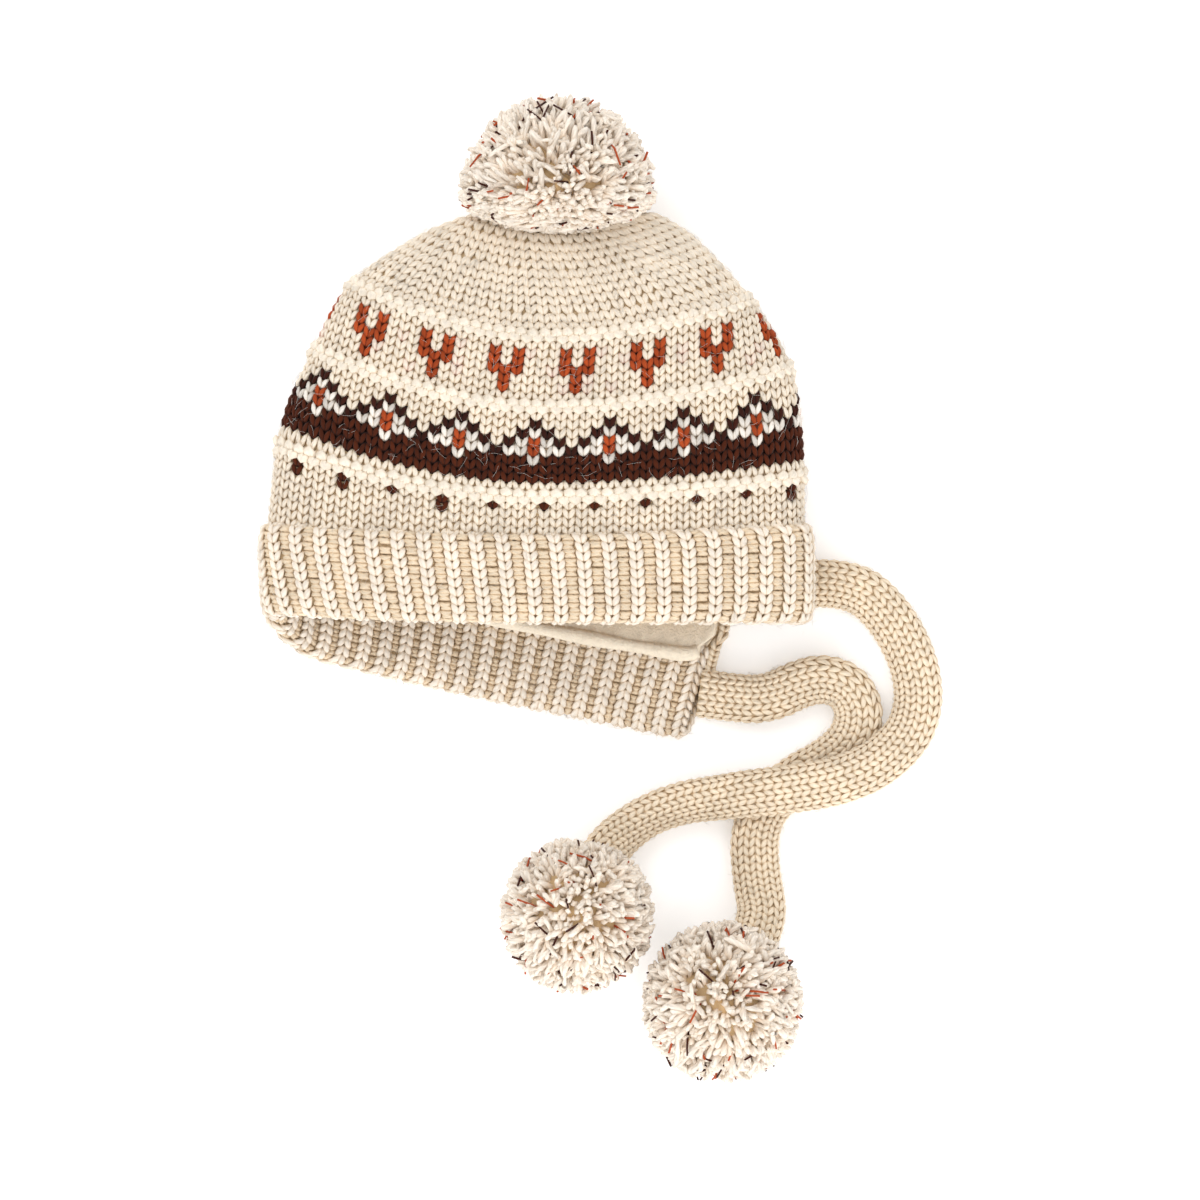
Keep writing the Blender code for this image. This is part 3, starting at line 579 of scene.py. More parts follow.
def stitchLegs(place, count, light, shade, region, rng, wide, high, lift, spread=0.10):
    # two legs for each stitch; place(across, up) gives points and normals on the surface; legs that
    # face the floor are plainer
    groups = []
    wobble = 1 + legForm["wideSpread"] * (rng.random((2, count, 1)) - 0.5)
    x0, y0, x1, y1 = region
    middle, waist = (x0 + x1) / 2, y0 + legForm["seenShare"] * (y1 - y0)
    for number, sign in enumerate((-1, 1)):
        slide = legForm["slide"] * (rng.random((count, 1)) - 0.5)
        points, normals = place(sign * leg[:, 0] + slide, leg[:, 1] + legForm["slideUp"] * slide)
        points = points + normals * (leg[:, 2] * lift)[None, :, None]
        tints = legTints(light, shade, leg[:, 4], spread, rng)
        widths = wide * leg[:, 3] * wobble[number]
        left, right = (x0, middle) if number == 0 else (middle, x1)
        seen = normals[:, 2, 2] > legForm["floorFacing"]
        # each leg's sides and underside take its painted shade colour
        for chosen, sides, part in ((seen, legForm["sides"], (left, y0, right, waist)),
                                    (~seen, legForm["floorSides"], (left, waist, right, y1))):
            if chosen.any():
                groups.append(tubeGroup(points[chosen], normals[chosen], widths[chosen], high * leg[:, 3],
                                        sides, tints[chosen], part, shade[chosen]))
    return groups


def oneColour(name, count):
    return np.broadcast_to(toLinear(yarn[name]), (count, 3))


def tubeBody(patch, region, tint, inset):
    # a closed tube from a patch's rings (rows) drawn in by inset, with a fan at each end
    rows, columns = patch["points"].shape[0], patch["points"].shape[1] - 1
    ring = (patch["points"] - patch["normals"] * inset)[:, :-1]
    ring[..., 2] = np.maximum(ring[..., 2], tie["lowest"])
    index = ringIndex(rows, columns)
    ends = np.stack((ring[0].mean(axis=0), ring[-1].mean(axis=0)))
    x0, y0, x1, y1 = region
    mid = y0 + (y1 - y0) * 0.9
    faces = [turned(gridFaces(index, (x0, y0, x1, mid), (rows * 4.0, columns * 4.0)))]
    faces.append(fanFaces(index[0, :-1], rows * columns, (x0, mid, (x0 + x1) / 2, y1)))
    faces.append(fanFaces(index[-1, -2::-1], rows * columns + 1, ((x0 + x1) / 2, mid, x1, y1)))
    points = np.concatenate((ring.reshape(-1, 3), ends))
    return {"points": points, "faces": faces, "tints": np.broadcast_to(toLinear(tint), points.shape)}


def knittedCord(line, width, thickness, wales, rng):
    # a knitted tube: a plain body with wales of stitches all round it
    patch = ovalPatch(line, width, thickness, wales, tie["rowPitch"])
    rows = math.floor(walked(line[:, :3])[-1] / tie["rowPitch"])
    wale, row = (part.ravel() for part in np.meshgrid(np.arange(wales) + 0.5, np.arange(rows) + 0.5))

    def place(across, up):
        return readPatch(patch, wale[:, None] + across, row[:, None] + up)

    coarse = dict(patch, points=patch["points"][::2, ::2], normals=patch["normals"][::2, ::2])
    # the cord's body takes the gap colour: painted shade in the holes between stitches
    groups = [tubeBody(coarse, (0.0, 0.0, 0.2, 1.0), yarn["gap"], tie["bodyInset"])]
    groups += stitchLegs(place, len(wale), oneColour("tie", len(wale)), oneColour("tieShade", len(wale)),
                         (0.2, 0.0, 0.9, 1.0), rng, tie["legWide"], tie["legHigh"], tie["legLift"])
    return groups, patch, rows


fuzz = {"radius": 0.00007, "length": (0.003, 0.008), "rise": 0.0011, "riseShares": (0.6, 2.2),
        "curl": 0.8, "start": 0.0008, "rings": (0.0, 0.5, 1.0), "taper": (1.0, 1.0, 0.5)}


def fuzzGroup(patch, uRange, vRange, count, colour, rng, keep=None, reach=1.0):
    # loose fibres that stand off the yarn: thin tubes that start on the surface and curl away
    u = rng.uniform(*uRange, count)
    v = rng.uniform(*vRange, count)
    if keep is not None:
        u, v = u[keep(u, v)], v[keep(u, v)]
    count = len(u)
    root, normal = readPatch(patch, u, v)
    way = unit(np.cross(normal, rng.normal(size=normal.shape)))
    bend = np.cross(normal, way) * rng.uniform(-fuzz["curl"], fuzz["curl"], (count, 1))
    length = reach * rng.uniform(*fuzz["length"], (count, 1))
    rise = rng.uniform(*fuzz["riseShares"], (count, 1)) * fuzz["rise"]
    share = np.array(fuzz["rings"])[None, :, None]
    points = (root[:, None] + way[:, None] * length[:, None] * share
              + bend[:, None] * length[:, None] * share**2
              + normal[:, None] * (fuzz["start"] + rise[:, None] * share * (1.6 - share)))
    normals = np.repeat(normal[:, None], len(fuzz["rings"]), axis=1)
    return tubeGroup(points, normals, fuzz["radius"] * np.array(fuzz["taper"]), fuzz["radius"], 3,
                     oneColour(colour, count), (0.9, 0.0, 1.0, 1.0))


def buildTie(number, route, pompom):
    (x, y), diameter = pompom
    ball = np.array((x, y, diameter / 2))
    rng = np.random.default_rng(tie["seed"] + number)
    line = tieLine(route, tie["step"], ball, diameter / 2 - tie["intoPompom"])
    line = np.concatenate(([2 * line[0] - line[1]], line))  # its first row is sewn over the cuff's edge
    groups, patch, rows = knittedCord(line, tie["width"], tie["thickness"], tie["wales"], rng)
    groups.append(fuzzGroup(patch, (0.0, tie["wales"]), (0.0, rows), tie["fuzzPerRow"] * rows, "light",
                            rng, reach=tie["fuzzReach"]))
    piece = buildPiece(f"tie_{number}_knit", groups, cordWool)
    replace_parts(piece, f"tie_{number}")
    return piece, line


# pompoms
pompom = {
    "diameter": 0.090, "rise": 0.0060, "squash": 0.40, "strandWide": 0.00145, "core": 0.78,
    "lowest": 0.0012, "flatFrom": 0.0016, "flatShare": 0.15,  # strands at the floor lie flat on it
    "bendFrom": 0.55, "bendPower": 1.7, "fall": 0.9, "lock": 0.25, "lockTurns": 4.5, "tangle": 0.60,
    "strands": 2500, "tieStrands": 1600, "shortShare": 0.55, "strayShare": 1 / 14, "darkShare": 0.45,
    "strayWide": 0.00054, "strayHigh": 0.00050, "seed": 3, "tieSeed": 10,
    "wide": (0.85, 0.35), "flatness": 0.85, "shortWide": 1.1, "shortLitShare": 0.8, "tintSpread": 0.14,
}
# reach (least and more, shares of the radius), lean (least and more), droop, spread of directions
layers = {
    "long": {"reach": (0.89, 0.12), "lean": (0.08, 0.45), "droop": 0.002, "jitter": 0.07},
    "short": {"reach": (0.84, 0.10), "lean": (0.05, 0.30), "droop": 0.001, "jitter": 0.08},
    "stray": {"reach": (0.93, 0.08), "lean": (0.30, 0.60), "droop": 0.001, "jitter": 0.30},
}
strand = np.array((  # share of the radius, share of the strand's width, shade
    (0.55, 0.78, 0.00), (0.76, 0.95, 0.40), (0.90, 1.00, 0.85), (0.975, 0.92, 1.00), (1.00, 0.45, 0.95),
))
strayShares = np.array((0.72, 0.85, 0.94, 1.0))  # of the radius, along a stray strand
ballGrid = {"rings": 15, "columns": 32}  # of the dense middle


def ballDirections(count, jitter, rng):
    # evenly spread directions along a spiral, each a little off its place
    number = np.arange(count) + 0.5
    height = 1 - 2 * number / count
    turn = number * math.pi * (3 - math.sqrt(5))
    flat = np.sqrt(1 - height**2)
    ways = np.stack((flat * np.cos(turn), flat * np.sin(turn), height), axis=-1)
    return unit(ways + jitter * rng.normal(size=ways.shape))


def buildPompom(name, node, centre, radius, count, seed, squash=1.0):
    # strands of yarn from a tied middle, cut to a ball; those at the floor are bent flat
    rng = np.random.default_rng(seed)
    centre = np.array(centre)

    def settle(points):
        points = points.copy()
        points[..., 1] = np.where(points[..., 1] < 0, points[..., 1] * squash, points[..., 1])
        points = points + centre
        low = pompom["flatFrom"]
        flat = low + pompom["flatShare"] * (points[..., 2] - low)
        points[..., 2] = np.where(points[..., 2] < low, flat, points[..., 2])
        points[..., 2] = np.maximum(points[..., 2], pompom["lowest"])
        return points

    def strandLayer(number, shares, layer):
        # strands fall outwards from the upper middle, in locks, and lie down towards their ends
        ways = ballDirections(number, layer["jitter"], rng)
        reach = radius * (layer["reach"][0] + layer["reach"][1] * rng.random(number))
        lean = layer["lean"][0] + layer["lean"][1] * rng.random(number)
        droop = layer["droop"] * rng.random(number)
        locks = np.sin(pompom["lockTurns"] * ways[:, (1, 2, 0)] + seed + np.array((0.7, 1.9, 3.1)))
        away = pompom["fall"] * ways * (1.0, 1.0, 0.0) + pompom["lock"] * locks
        sideways = np.cross(np.cross(ways, away), ways) + pompom["tangle"] * rng.normal(size=ways.shape)
        share = shares[None, :, None]
        bend = np.clip((share - pompom["bendFrom"]) / (1 - pompom["bendFrom"]), 0.0, 1.0)
        bend = bend ** pompom["bendPower"]
        points = unit(ways[:, None] + sideways[:, None] * bend * lean[:, None, None])
        points = points * share * reach[:, None, None]
        points[..., 2] -= bend[..., 0] * droop[:, None]
        normals = unit(np.cross(ways, rng.normal(size=ways.shape)))
        return settle(points), np.repeat(normals[:, None], len(shares), axis=1)

    points, normals = strandLayer(count, strand[:, 0], layers["long"])
    leastWide, moreWide = pompom["wide"]
    wide = pompom["strandWide"] * (leastWide + moreWide * rng.random((count, 1))) * strand[:, 1]
    tints = legTints(oneColour("pompom", count), oneColour("pompomShade", count), strand[:, 2],
                     pompom["tintSpread"], rng)
    groups = [tubeGroup(points, normals, wide, wide * pompom["flatness"], 4, tints, (0.1, 0.0, 0.9, 1.0))]
    # shorter strands fill the gaps between them; they lie deeper and take more of the painted shade colour
    fill = int(count * pompom["shortShare"])
    points, normals = strandLayer(fill, strand[1:, 0], layers["short"])
    wide = pompom["shortWide"] * pompom["strandWide"] * strand[1:, 1]
    tints = legTints(oneColour("pompom", fill), oneColour("pompomShade", fill),
                     pompom["shortLitShare"] * strand[1:, 2], pompom["tintSpread"], rng)
    groups.append(tubeGroup(points, normals, wide, wide, 3, tints, (0.9, 0.0, 1.0, 0.5)))
    # a few thin strands of the two pattern colours
    few = int(count * pompom["strayShare"])
    points, normals = strandLayer(few, strayShares, layers["stray"])
    dark = rng.random(few) < pompom["darkShare"]
    tints = np.where(dark[:, None], toLinear(yarn["pompomDark"]), toLinear(yarn["pompomRust"]))
    groups.append(tubeGroup(points, normals, pompom["strayWide"], pompom["strayHigh"], 4, tints,
                            (0.9, 0.5, 1.0, 1.0)))
    # the dense middle, a darker tan: painted shade deep inside the ball
    rings, columns = ballGrid["rings"], ballGrid["columns"]
    turn, lean = np.meshgrid(np.linspace(0, tau, columns + 1), np.linspace(0, math.pi, rings + 2)[1:-1])
    grid = np.stack((np.sin(lean) * np.cos(turn), np.sin(lean) * np.sin(turn), np.cos(lean)), axis=-1)
    ends = np.array(((0, 0, 1), (0, 0, -1)))
    index = ringIndex(rings, columns)
    size = pompom["core"] * radius
    points = settle(size * np.concatenate((grid[:, :-1].reshape(-1, 3), ends)))
    faces = [turned(gridFaces(index, (0.0, 0.0, 0.1, 0.9), (200.0, 120.0))),
             fanFaces(index[0, :-1], rings * columns, (0.0, 0.9, 0.05, 1.0)),
             fanFaces(index[-1, -2::-1], rings * columns + 1, (0.05, 0.9, 0.1, 1.0))]
    groups.append({"points": points, "faces": faces,
                   "tints": np.broadcast_to(toLinear(yarn["pompomCoreShade"]), points.shape)})
    piece = buildPiece(name, groups, cutWool)
    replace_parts(piece, node)
    return piece


top = crownRow(1.0)
buildPompom("crown_pompom_yarn", "crown_pompom",
            ((top["right"] - top["left"]) / 2, top["near"] + pompom["rise"], pompom["diameter"] / 2),
            pompom["diameter"] / 2, pompom["strands"], pompom["seed"], pompom["squash"])
for number, (route, ballSize) in enumerate(zip(tieRoutes, tiePompoms), start=1):
    (ballX, ballY), ballDiameter = ballSize
    ball = buildPompom(f"tie_pompom_{number}_yarn", f"tie_pompom_{number}",
                       (ballX, ballY, ballDiameter / 2), ballDiameter / 2, pompom["tieStrands"],
                       pompom["tieSeed"] + number)
    piece, line = buildTie(number, route, ballSize)
print("ties and pompoms")


# crown
crown = {
    "stitches": 96, "anchor": 24.5, "wedge": 12, "rowPitch": 0.0040, "bodyInset": 0.0007,
    "legWide": 0.00120, "topWide": 0.00135, "legHigh": 0.00100, "legLift": 0.0010,
    "ridgeWide": 0.00200, "ridgeHigh": 0.00145, "ridgeLift": 0.0010, "ridgeWander": 0.00025,
    "ridgeRises": (0.29, -0.27),  # rows, of the upward and the downward arcs
    "fuzzPerRow": 60, "topFuzz": 900, "tableFrom": -0.06, "tableRows": 213, "perWale": 4,
    "bodyColumns": 144, "bodyRings": 68, "bodyFrom": 0.002, "innerReach": 0.93,
    "nearFace": (0.25, -0.65), "anchorWithin": 0.1, "slitMargin": 0.02, "lowestHeight": -0.05,
    "spread": 0.12, "chartSpread": 0.45,  # how much stitches of the plain and the chart colours vary
    "fleckRows": (12, 16), "fleckShare": 0.13, "fuzzFrom": 0.005, "wedgeMargin": 0.45,
    "heights": (0.119, 0.390, 0.604, 1.0),  # of the three raised rows and the top
    "rows": (0.0, 10.0, 18.0, 32.7),  # rows counted from the lowest raised row
    "tallDots": (2, 4, 5, -5, 7, 9),  # counted in fours from the middle wale
    "nearPitchAt": (0.0, 0.263, 0.498, 0.604),
    "nearPitch": (0.00575, 0.00565, 0.00536, 0.00525),
    "anchorAt": (0.0, 0.263, 0.498, 0.63, 0.935),
    "anchorX": (-0.0029, -0.0011, 0.0020, 0.0043, -0.0020),
}
flowerRows = ("BBBBBB", "BBBBBB", "WBBBBB", "RWWDWW", "RWD.DW", "WD...D", "D.....")  # from row 2 up
forkRows = ("R.....", "R.....", "RR...R", ".R...R", ".R...R")  # from row 12 up
yarnNames = {".": ("light", "shade"), "B": ("brown", "brownShade"), "D": ("outline", "outlineShade"),
             "W": ("petal", "petalShade"), "R": ("rust", "rustShade")}


def crownTable():
    # where each wale runs: even along a row, but wider on the near face as the knit gathers behind
    heights = np.linspace(crown["tableFrom"], 1.0, crown["tableRows"])
    dense = np.linspace(hat["slitAngle"], tau + hat["slitAngle"], loopSamples)
    points = loopPoints(asColumns(crownRow(heights)), dense[None], 0.0, 0.0)
    steps = np.linalg.norm(np.diff(points, axis=1), axis=-1)
    around = steps.sum(axis=1)
    farness = ease(*crown["nearFace"], np.sin((dense[1:] + dense[:-1]) / 2))[None]
    count = crown["stitches"]
    even = around / count
    ratio = np.interp(heights, crown["nearPitchAt"], crown["nearPitch"]) / even
    highest = crown["nearPitchAt"][-1]
    last = ratio[np.searchsorted(heights, highest)]
    ratio = np.where(heights > highest, last + (1 - last) * ease(highest, 1.0, heights), ratio)
    near = 1 / (even * ratio)
    far = (count - near * (steps * (1 - farness)).sum(axis=1)) / (steps * farness).sum(axis=1)
    wales = np.cumsum((near[:, None] * (1 - farness) + far[:, None] * farness) * steps, axis=1)
    wales = np.concatenate((np.zeros((len(heights), 1)), wales), axis=1)
    upper = (dense > crown["anchorWithin"]) & (dense < math.pi - crown["anchorWithin"])
    anchorX = np.interp(heights, crown["anchorAt"], crown["anchorX"])
    asked = np.arange(crown["perWale"] * count + 1) / crown["perWale"]
    angles = []
    for k in range(len(heights)):  # one row of the hat at a time
        anchorAngle = np.interp(-anchorX[k], -points[k, upper, 0], dense[upper])
        start = crown["anchor"] - np.interp(anchorAngle, dense, wales[k])
        wrapped = (asked - start) % count
        angles.append(np.interp(wrapped, wales[k], dense))
    return heights, np.array(angles), around


crownHeights, crownAngles, crownAround = crownTable()
crownGrid = loopPoints(asColumns(crownRow(crownHeights)), crownAngles, 0.0, 0.0)
heightStep = crownHeights[1] - crownHeights[0]
crownPatch = makePatch(crownGrid, 0.0, 1 / crown["perWale"], crownHeights[0], heightStep, True,
                       crownGrid.mean(axis=1, keepdims=True))
ridgeHeight = crown["heights"][0]
ridgeLine, edgeLine = (crownGrid[np.argmin(abs(crownHeights - h))] for h in (ridgeHeight, 0.0))
belowRidge = np.linalg.norm(ridgeLine - edgeLine, axis=1)  # from the lowest raised row to the cuff


def rowHeight(wales, rows):
    # height share of a row; rows under the lowest raised one run parallel to it
    wales = np.asarray(wales) % crown["stitches"]
    reach = np.interp(wales, np.arange(len(belowRidge)) / crown["perWale"], belowRidge)
    above = np.interp(rows, crown["rows"], crown["heights"])
    return np.where(np.asarray(rows) >= 0, above, ridgeHeight * (1 + rows * crown["rowPitch"] / reach))


def inSlit(wales, heights):
    i = (np.round(np.asarray(wales) % crown["stitches"] * crown["perWale"])).astype(int)
    j = np.clip(np.round((heights - crownHeights[0]) / heightStep).astype(int), 0, len(crownHeights) - 1)
    angle = crownAngles[j, i]
    return (heights < hat["slitLength"] / hat["crownHeight"]) & (
        (angle > slitEnd(heights) - crown["slitMargin"]) | (angle < hat["slitAngle"] + crown["slitMargin"]))


def topScale(rows):
    # how much of a wedge one stitch takes, above the highest raised row
    around = np.interp(rowHeight(0.0, rows), crownHeights, crownAround)
    base = np.interp(crown["heights"][2], crownHeights, crownAround)
    return np.where(rows > crown["rows"][2], base / around, 1.0)


def chartColour(stitch, row):
    # the letter of the colour chart for each stitch
    turn = (stitch - int(crown["anchor"])) % 6
    letters = np.full(stitch.shape, ".")
    for first, chart, shift in ((2, flowerRows, 0), (12, forkRows, 3)):
        for number, line in enumerate(chart):
            here = row == first + number
            letters[here] = np.array(list(line))[(turn[here] - shift) % 6]
    dots = (stitch - int(crown["anchor"]) + 1) % 4 == 0  # one in four, some of them two rows tall
    tall = np.isin((stitch - int(crown["anchor"]) + 1) // 4, crown["tallDots"])
    letters[dots & ((row == -1) | ((row == -2) & tall))] = "B"
    return letters


def chartTints(letters):
    light, shade = np.zeros((len(letters), 3)), np.zeros((len(letters), 3))
    for letter, (lightName, shadeName) in yarnNames.items():
        light[letters == letter] = toLinear(yarn[lightName])
        shade[letters == letter] = toLinear(yarn[shadeName])
    return light, shade


def knitRows(name, firstRow, lastRow, seed):
    # rows of V stitches with their chart colours
    rng = np.random.default_rng(seed)
    stitch, row = (part.ravel() for part in np.meshgrid(np.arange(crown["stitches"]),
                                                        np.arange(firstRow, lastRow + 1)))
    heights = rowHeight(stitch + 0.5, row)
    keep = (heights > crown["lowestHeight"]) & ~inSlit(stitch + 0.5, heights)
    stitch, row = stitch[keep], row[keep]
    letters = chartColour(stitch, row)
    light, shade = chartTints(letters)
    spread = np.where(letters == ".", crown["spread"], crown["chartSpread"])
    low, high = crown["fleckRows"]
    flecks = (letters == ".") & (row >= low) & (row <= high) & (rng.random(len(row)) < crown["fleckShare"])
    shade[flecks] = toLinear(yarn["rust"])  # the rust yarn runs behind and shows between stitches

    def place(across, up):
        wales, rows = stitch[:, None] + 0.5 + across, row[:, None] + up
        return readPatch(crownPatch, wales, rowHeight(wales, rows))

    groups = stitchLegs(place, len(stitch), light, shade, (0.0, 0.0, 0.9, 1.0), rng,
                        crown["legWide"], crown["legHigh"], crown["legLift"], spread)
    fibres = crown["fuzzPerRow"] * (lastRow - firstRow + 1)
    groups.append(fuzzOnRows((firstRow - 0.5, lastRow + 0.5), fibres, rng))
    return buildPiece(name, groups, chunkyWool)


def fuzzOnRows(rowRange, count, rng):
    # loose fibres on the crown, spread over these rows
    low = rowHeight(0.0, rowRange[0]) if rowRange[0] >= 0 else crown["fuzzFrom"]
    high = rowHeight(0.0, rowRange[1]) if rowRange[1] >= 0 else ridgeHeight
    rows = (float(low), float(high))

    def keepHere(u, v):
        return ~inSlit(u, v)

    return fuzzGroup(crownPatch, (0.0, crown["stitches"]), rows, count, "petal", rng, keepHere)


def knitTop(name, firstRow, lastRow, seed):
    # the gathered top: eight wedges of parallel wales that narrow towards the middle
    rng = np.random.default_rng(seed)
    wedges, half = crown["stitches"] // crown["wedge"], crown["wedge"] // 2
    wedge, offset, row = (part.ravel() for part in np.meshgrid(
        np.arange(wedges), np.arange(1 - half, half + 1), np.arange(firstRow, lastRow + 1)))
    scale = topScale(row)
    last = np.floor((half - crown["wedgeMargin"] * scale) / scale)
    keep = (offset == half) | (np.abs(offset) <= last)
    stretch = (half - 0.5 * scale) / ((last + 0.5) * scale)  # the wales left fill their wedge
    wedge, offset, row, stretch = wedge[keep], offset[keep], row[keep], stretch[keep]
    middle = crown["anchor"] + crown["wedge"] * (wedge + 0.5)

    def place(across, up):
        rows = row[:, None] + up
        here = topScale(rows)
        fromMiddle = np.where(offset[:, None] == half, half, (offset * stretch)[:, None] * here)
        wales = middle[:, None] + fromMiddle + across * here
        return readPatch(crownPatch, wales, rowHeight(wales, rows))

    light, shade = chartTints(np.full(len(row), "."))
    groups = stitchLegs(place, len(row), light, shade, (0.0, 0.0, 0.9, 1.0), rng,
                        crown["topWide"], crown["legHigh"], crown["legLift"])
    groups.append(fuzzOnRows((firstRow - 0.5, lastRow - 5), crown["topFuzz"], rng))
    return buildPiece(name, groups, chunkyWool)


def raisedRows(name, seed):
    # purl rows: arcs of yarn that lie across the wales, one upwards and one downwards to a stitch
    rng = np.random.default_rng(seed)
    arc = np.array((  # across (stitches), up (rows), out, width and shade
        (-0.47, -0.36, -0.6, 0.50, 0.3), (-0.27, -0.04, 0.9, 1.00, 0.9), (0.0, 0.16, 1.6, 1.15, 1.0),
        (0.27, -0.04, 0.9, 1.00, 0.9), (0.47, -0.36, -0.6, 0.50, 0.3)))
    groups = []
    for number, (shift, flip, rise) in enumerate(zip((0.5, 0.0), (1, -1), crown["ridgeRises"])):
        stitch, row = (part.ravel() for part in np.meshgrid(np.arange(crown["stitches"]) + shift,
                                                            np.array(crown["rows"][:3])))
        keep = ~inSlit(stitch, rowHeight(stitch, row))
        stitch, row = stitch[keep], row[keep]
        wales = stitch[:, None] + arc[:, 0]
        rows = row[:, None] + rise + flip * arc[:, 1]
        points, normals = readPatch(crownPatch, wales, rowHeight(wales, rows),
                                    crown["ridgeLift"] * arc[:, 2])
        count = len(stitch)
        points = points + crown["ridgeWander"] * rng.normal(size=(count, 1, 3))
        shade = oneColour("ridgeShade", count)
        # the arcs go from the lightened cream, painted light, to the painted shade colour at their ends and
        # underside
        tints = legTints(oneColour("ridgeLit", count), shade, arc[:, 4], 0.08, rng)
        groups.append(tubeGroup(points, normals, crown["ridgeWide"] * arc[:, 3],
                                crown["ridgeHigh"] * arc[:, 3], 5, tints,
                                (0.5 * number, 0.0, 0.5 * number + 0.5, 1.0), shade))
    return buildPiece(name, groups, chunkyWool)


def crownBody(name):
    # the wall behind the stitches: two grids joined at the slit and the edge, each closed at the top
    slitTop = hat["slitLength"] / hat["crownHeight"]
    heights = np.unique(np.append(np.linspace(crown["bodyFrom"], 1.0, crown["bodyRings"]), slitTop))
    share = np.linspace(0.0, 1.0, crown["bodyColumns"] + 1)
    outer, inner, tints = [], [], []
    for height in heights:  # one ring at a time
        row = crownRow(height)
        angles = evenAngles(row, float(slitEnd(height)), share)
        outer.append(loopPoints(row, angles, -crown["bodyInset"], crown["bodyInset"]))
        innerRow = crownRow(heights[0] + (height - heights[0]) * crown["innerReach"])
        inner.append(loopPoints(innerRow, angles, -hat["knitWall"], hat["knitWall"]))
        j = int(round((height - crownHeights[0]) / heightStep))
        wales = np.interp(angles - hat["slitAngle"], *sortedWales(j))
        rows = np.interp(height, crown["heights"], crown["rows"]) if height >= ridgeHeight else -5.0
        letters = chartColour(np.floor(wales).astype(int) % crown["stitches"],
                              np.full(len(share), int(round(float(rows)))))
        # painted shade: the wall seen through the holes takes the gap colour under cream stitches and each
        # chart yarn's shade colour under the rest
        tints.append(np.where((letters == ".")[:, None], toLinear(yarn["gap"]), chartTints(letters)[1]))
    outer, inner, tints = np.array(outer), np.array(inner), np.array(tints)
    closedFrom = int(np.searchsorted(heights, slitTop))
    return buildPiece(name, [shellGroup(outer, inner, closedFrom, tints)], chunkyWool)


def sortedWales(j):
    # angles from the slit's near edge and the wales that run there, in rising order
    angles = crownAngles[j, :-1] - hat["slitAngle"]
    wales = np.arange(len(angles)) / crown["perWale"]
    order = np.argsort(angles)
    return angles[order], np.unwrap(wales[order], period=crown["stitches"])


def shellGroup(outer, inner, closedFrom, tints):
    # a wall between two grids of rings; rings from closedFrom up are closed, those below end in a slit
    rings, columns = outer.shape[0], outer.shape[1] - 1
    index = np.arange(rings * (columns + 1)).reshape(rings, columns + 1)
    index[closedFrom:, -1] = index[closedFrom:, 0]
    other = index + rings * (columns + 1)
    hubs = 2 * rings * (columns + 1)
    size = (columns * 3.0, rings * 3.0)
    edge = np.stack((other[0], index[0]))
    near = np.stack((index[: closedFrom + 1, 0], other[: closedFrom + 1, 0]))
    far = np.stack((other[: closedFrom + 1, -1], index[: closedFrom + 1, -1]))
    faces = [
        gridFaces(index, (0.0, 0.0, 0.45, 1.0), size),
        turned(gridFaces(other, (0.45, 0.0, 0.9, 1.0), size)),
        gridFaces(edge, (0.90, 0.0, 0.92, 1.0), size),
        gridFaces(near, (0.92, 0.0, 0.94, 0.5), size), gridFaces(far, (0.94, 0.0, 0.96, 0.5), size),
        fanFaces(index[-1, :-1], hubs, (0.96, 0.0, 1.0, 0.04)),
        fanFaces(other[-1, -2::-1], hubs + 1, (0.96, 0.1, 1.0, 0.14)),
    ]
    ends = np.stack((outer[-1].mean(axis=0), inner[-1].mean(axis=0)))
    points = np.concatenate((outer.reshape(-1, 3), inner.reshape(-1, 3), ends))
    tints = np.concatenate((tints.reshape(-1, 3), tints.reshape(-1, 3), tints[-1, :2]))
    return {"points": points, "faces": faces, "tints": tints}


slitEdge = {"width": 0.0062, "thickness": 0.0050, "wales": 3, "inset": 0.0022, "lowest": 0.0026,
            "cuffLowest": 0.0045, "rings": 40, "cuffRings": 12, "heights": (0.01, 0.93),
            "cuffDowns": (0.40, 0.05), "pastEnd": 0.028, "seed": 36}


def slitEdges(name):
    # a narrow knitted edge along each side of the slit, from the cuff to the slit's top
    rng = np.random.default_rng(slitEdge["seed"])
    slitTop = hat["slitLength"] / hat["crownHeight"]
    heights = np.linspace(*slitEdge["heights"], slitEdge["rings"]) * slitTop
    downs = np.linspace(*slitEdge["cuffDowns"], slitEdge["cuffRings"])
    groups = []
    for number, besideCuff in enumerate(((), downs)):  # the far one goes on beside the cuff's end
        line = []
        for down in besideCuff:
            row = cuffRow(down)
            angle = np.array([farAngle(row["end"] + slitEdge["pastEnd"])])
            line.append(loopPoints(row, angle, -slitEdge["inset"], slitEdge["cuffLowest"])[0])
        for height in heights:  # one row at a time
            angle = np.array([float(slitEnd(height)) if number else hat["slitAngle"]])
            line.append(loopPoints(crownRow(height), angle, -slitEdge["inset"], slitEdge["lowest"])[0])
        line = np.c_[np.array(line), np.zeros(len(line))]
        line[:, 2] = np.maximum(line[:, 2], slitEdge["lowest"])
        cordGroups = knittedCord(line, slitEdge["width"], slitEdge["thickness"], slitEdge["wales"], rng)[0]
        for group in cordGroups:  # each edge gets half of the bake map
            faces = [(f[0], f[1], f[2] * (0.5, 1.0) + (0.5 * number, 0.0)) for f in group["faces"]]
            groups.append(dict(group, faces=faces))
    return buildPiece(name, groups, chunkyWool)


crownPieces = [
    slitEdges("slit_edges"),
    crownBody("crown_wall"),
    knitRows("crown_lower_knit", -9, -1, 31),
    knitRows("crown_flower_knit", 0, 9, 32),
    knitRows("crown_fork_knit", 10, 17, 33),
    knitTop("crown_top_knit", 18, 32, 34),
    raisedRows("crown_raised_rows", 35),
]
for piece in crownPieces:
    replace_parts(piece, "crown")
print("crown")


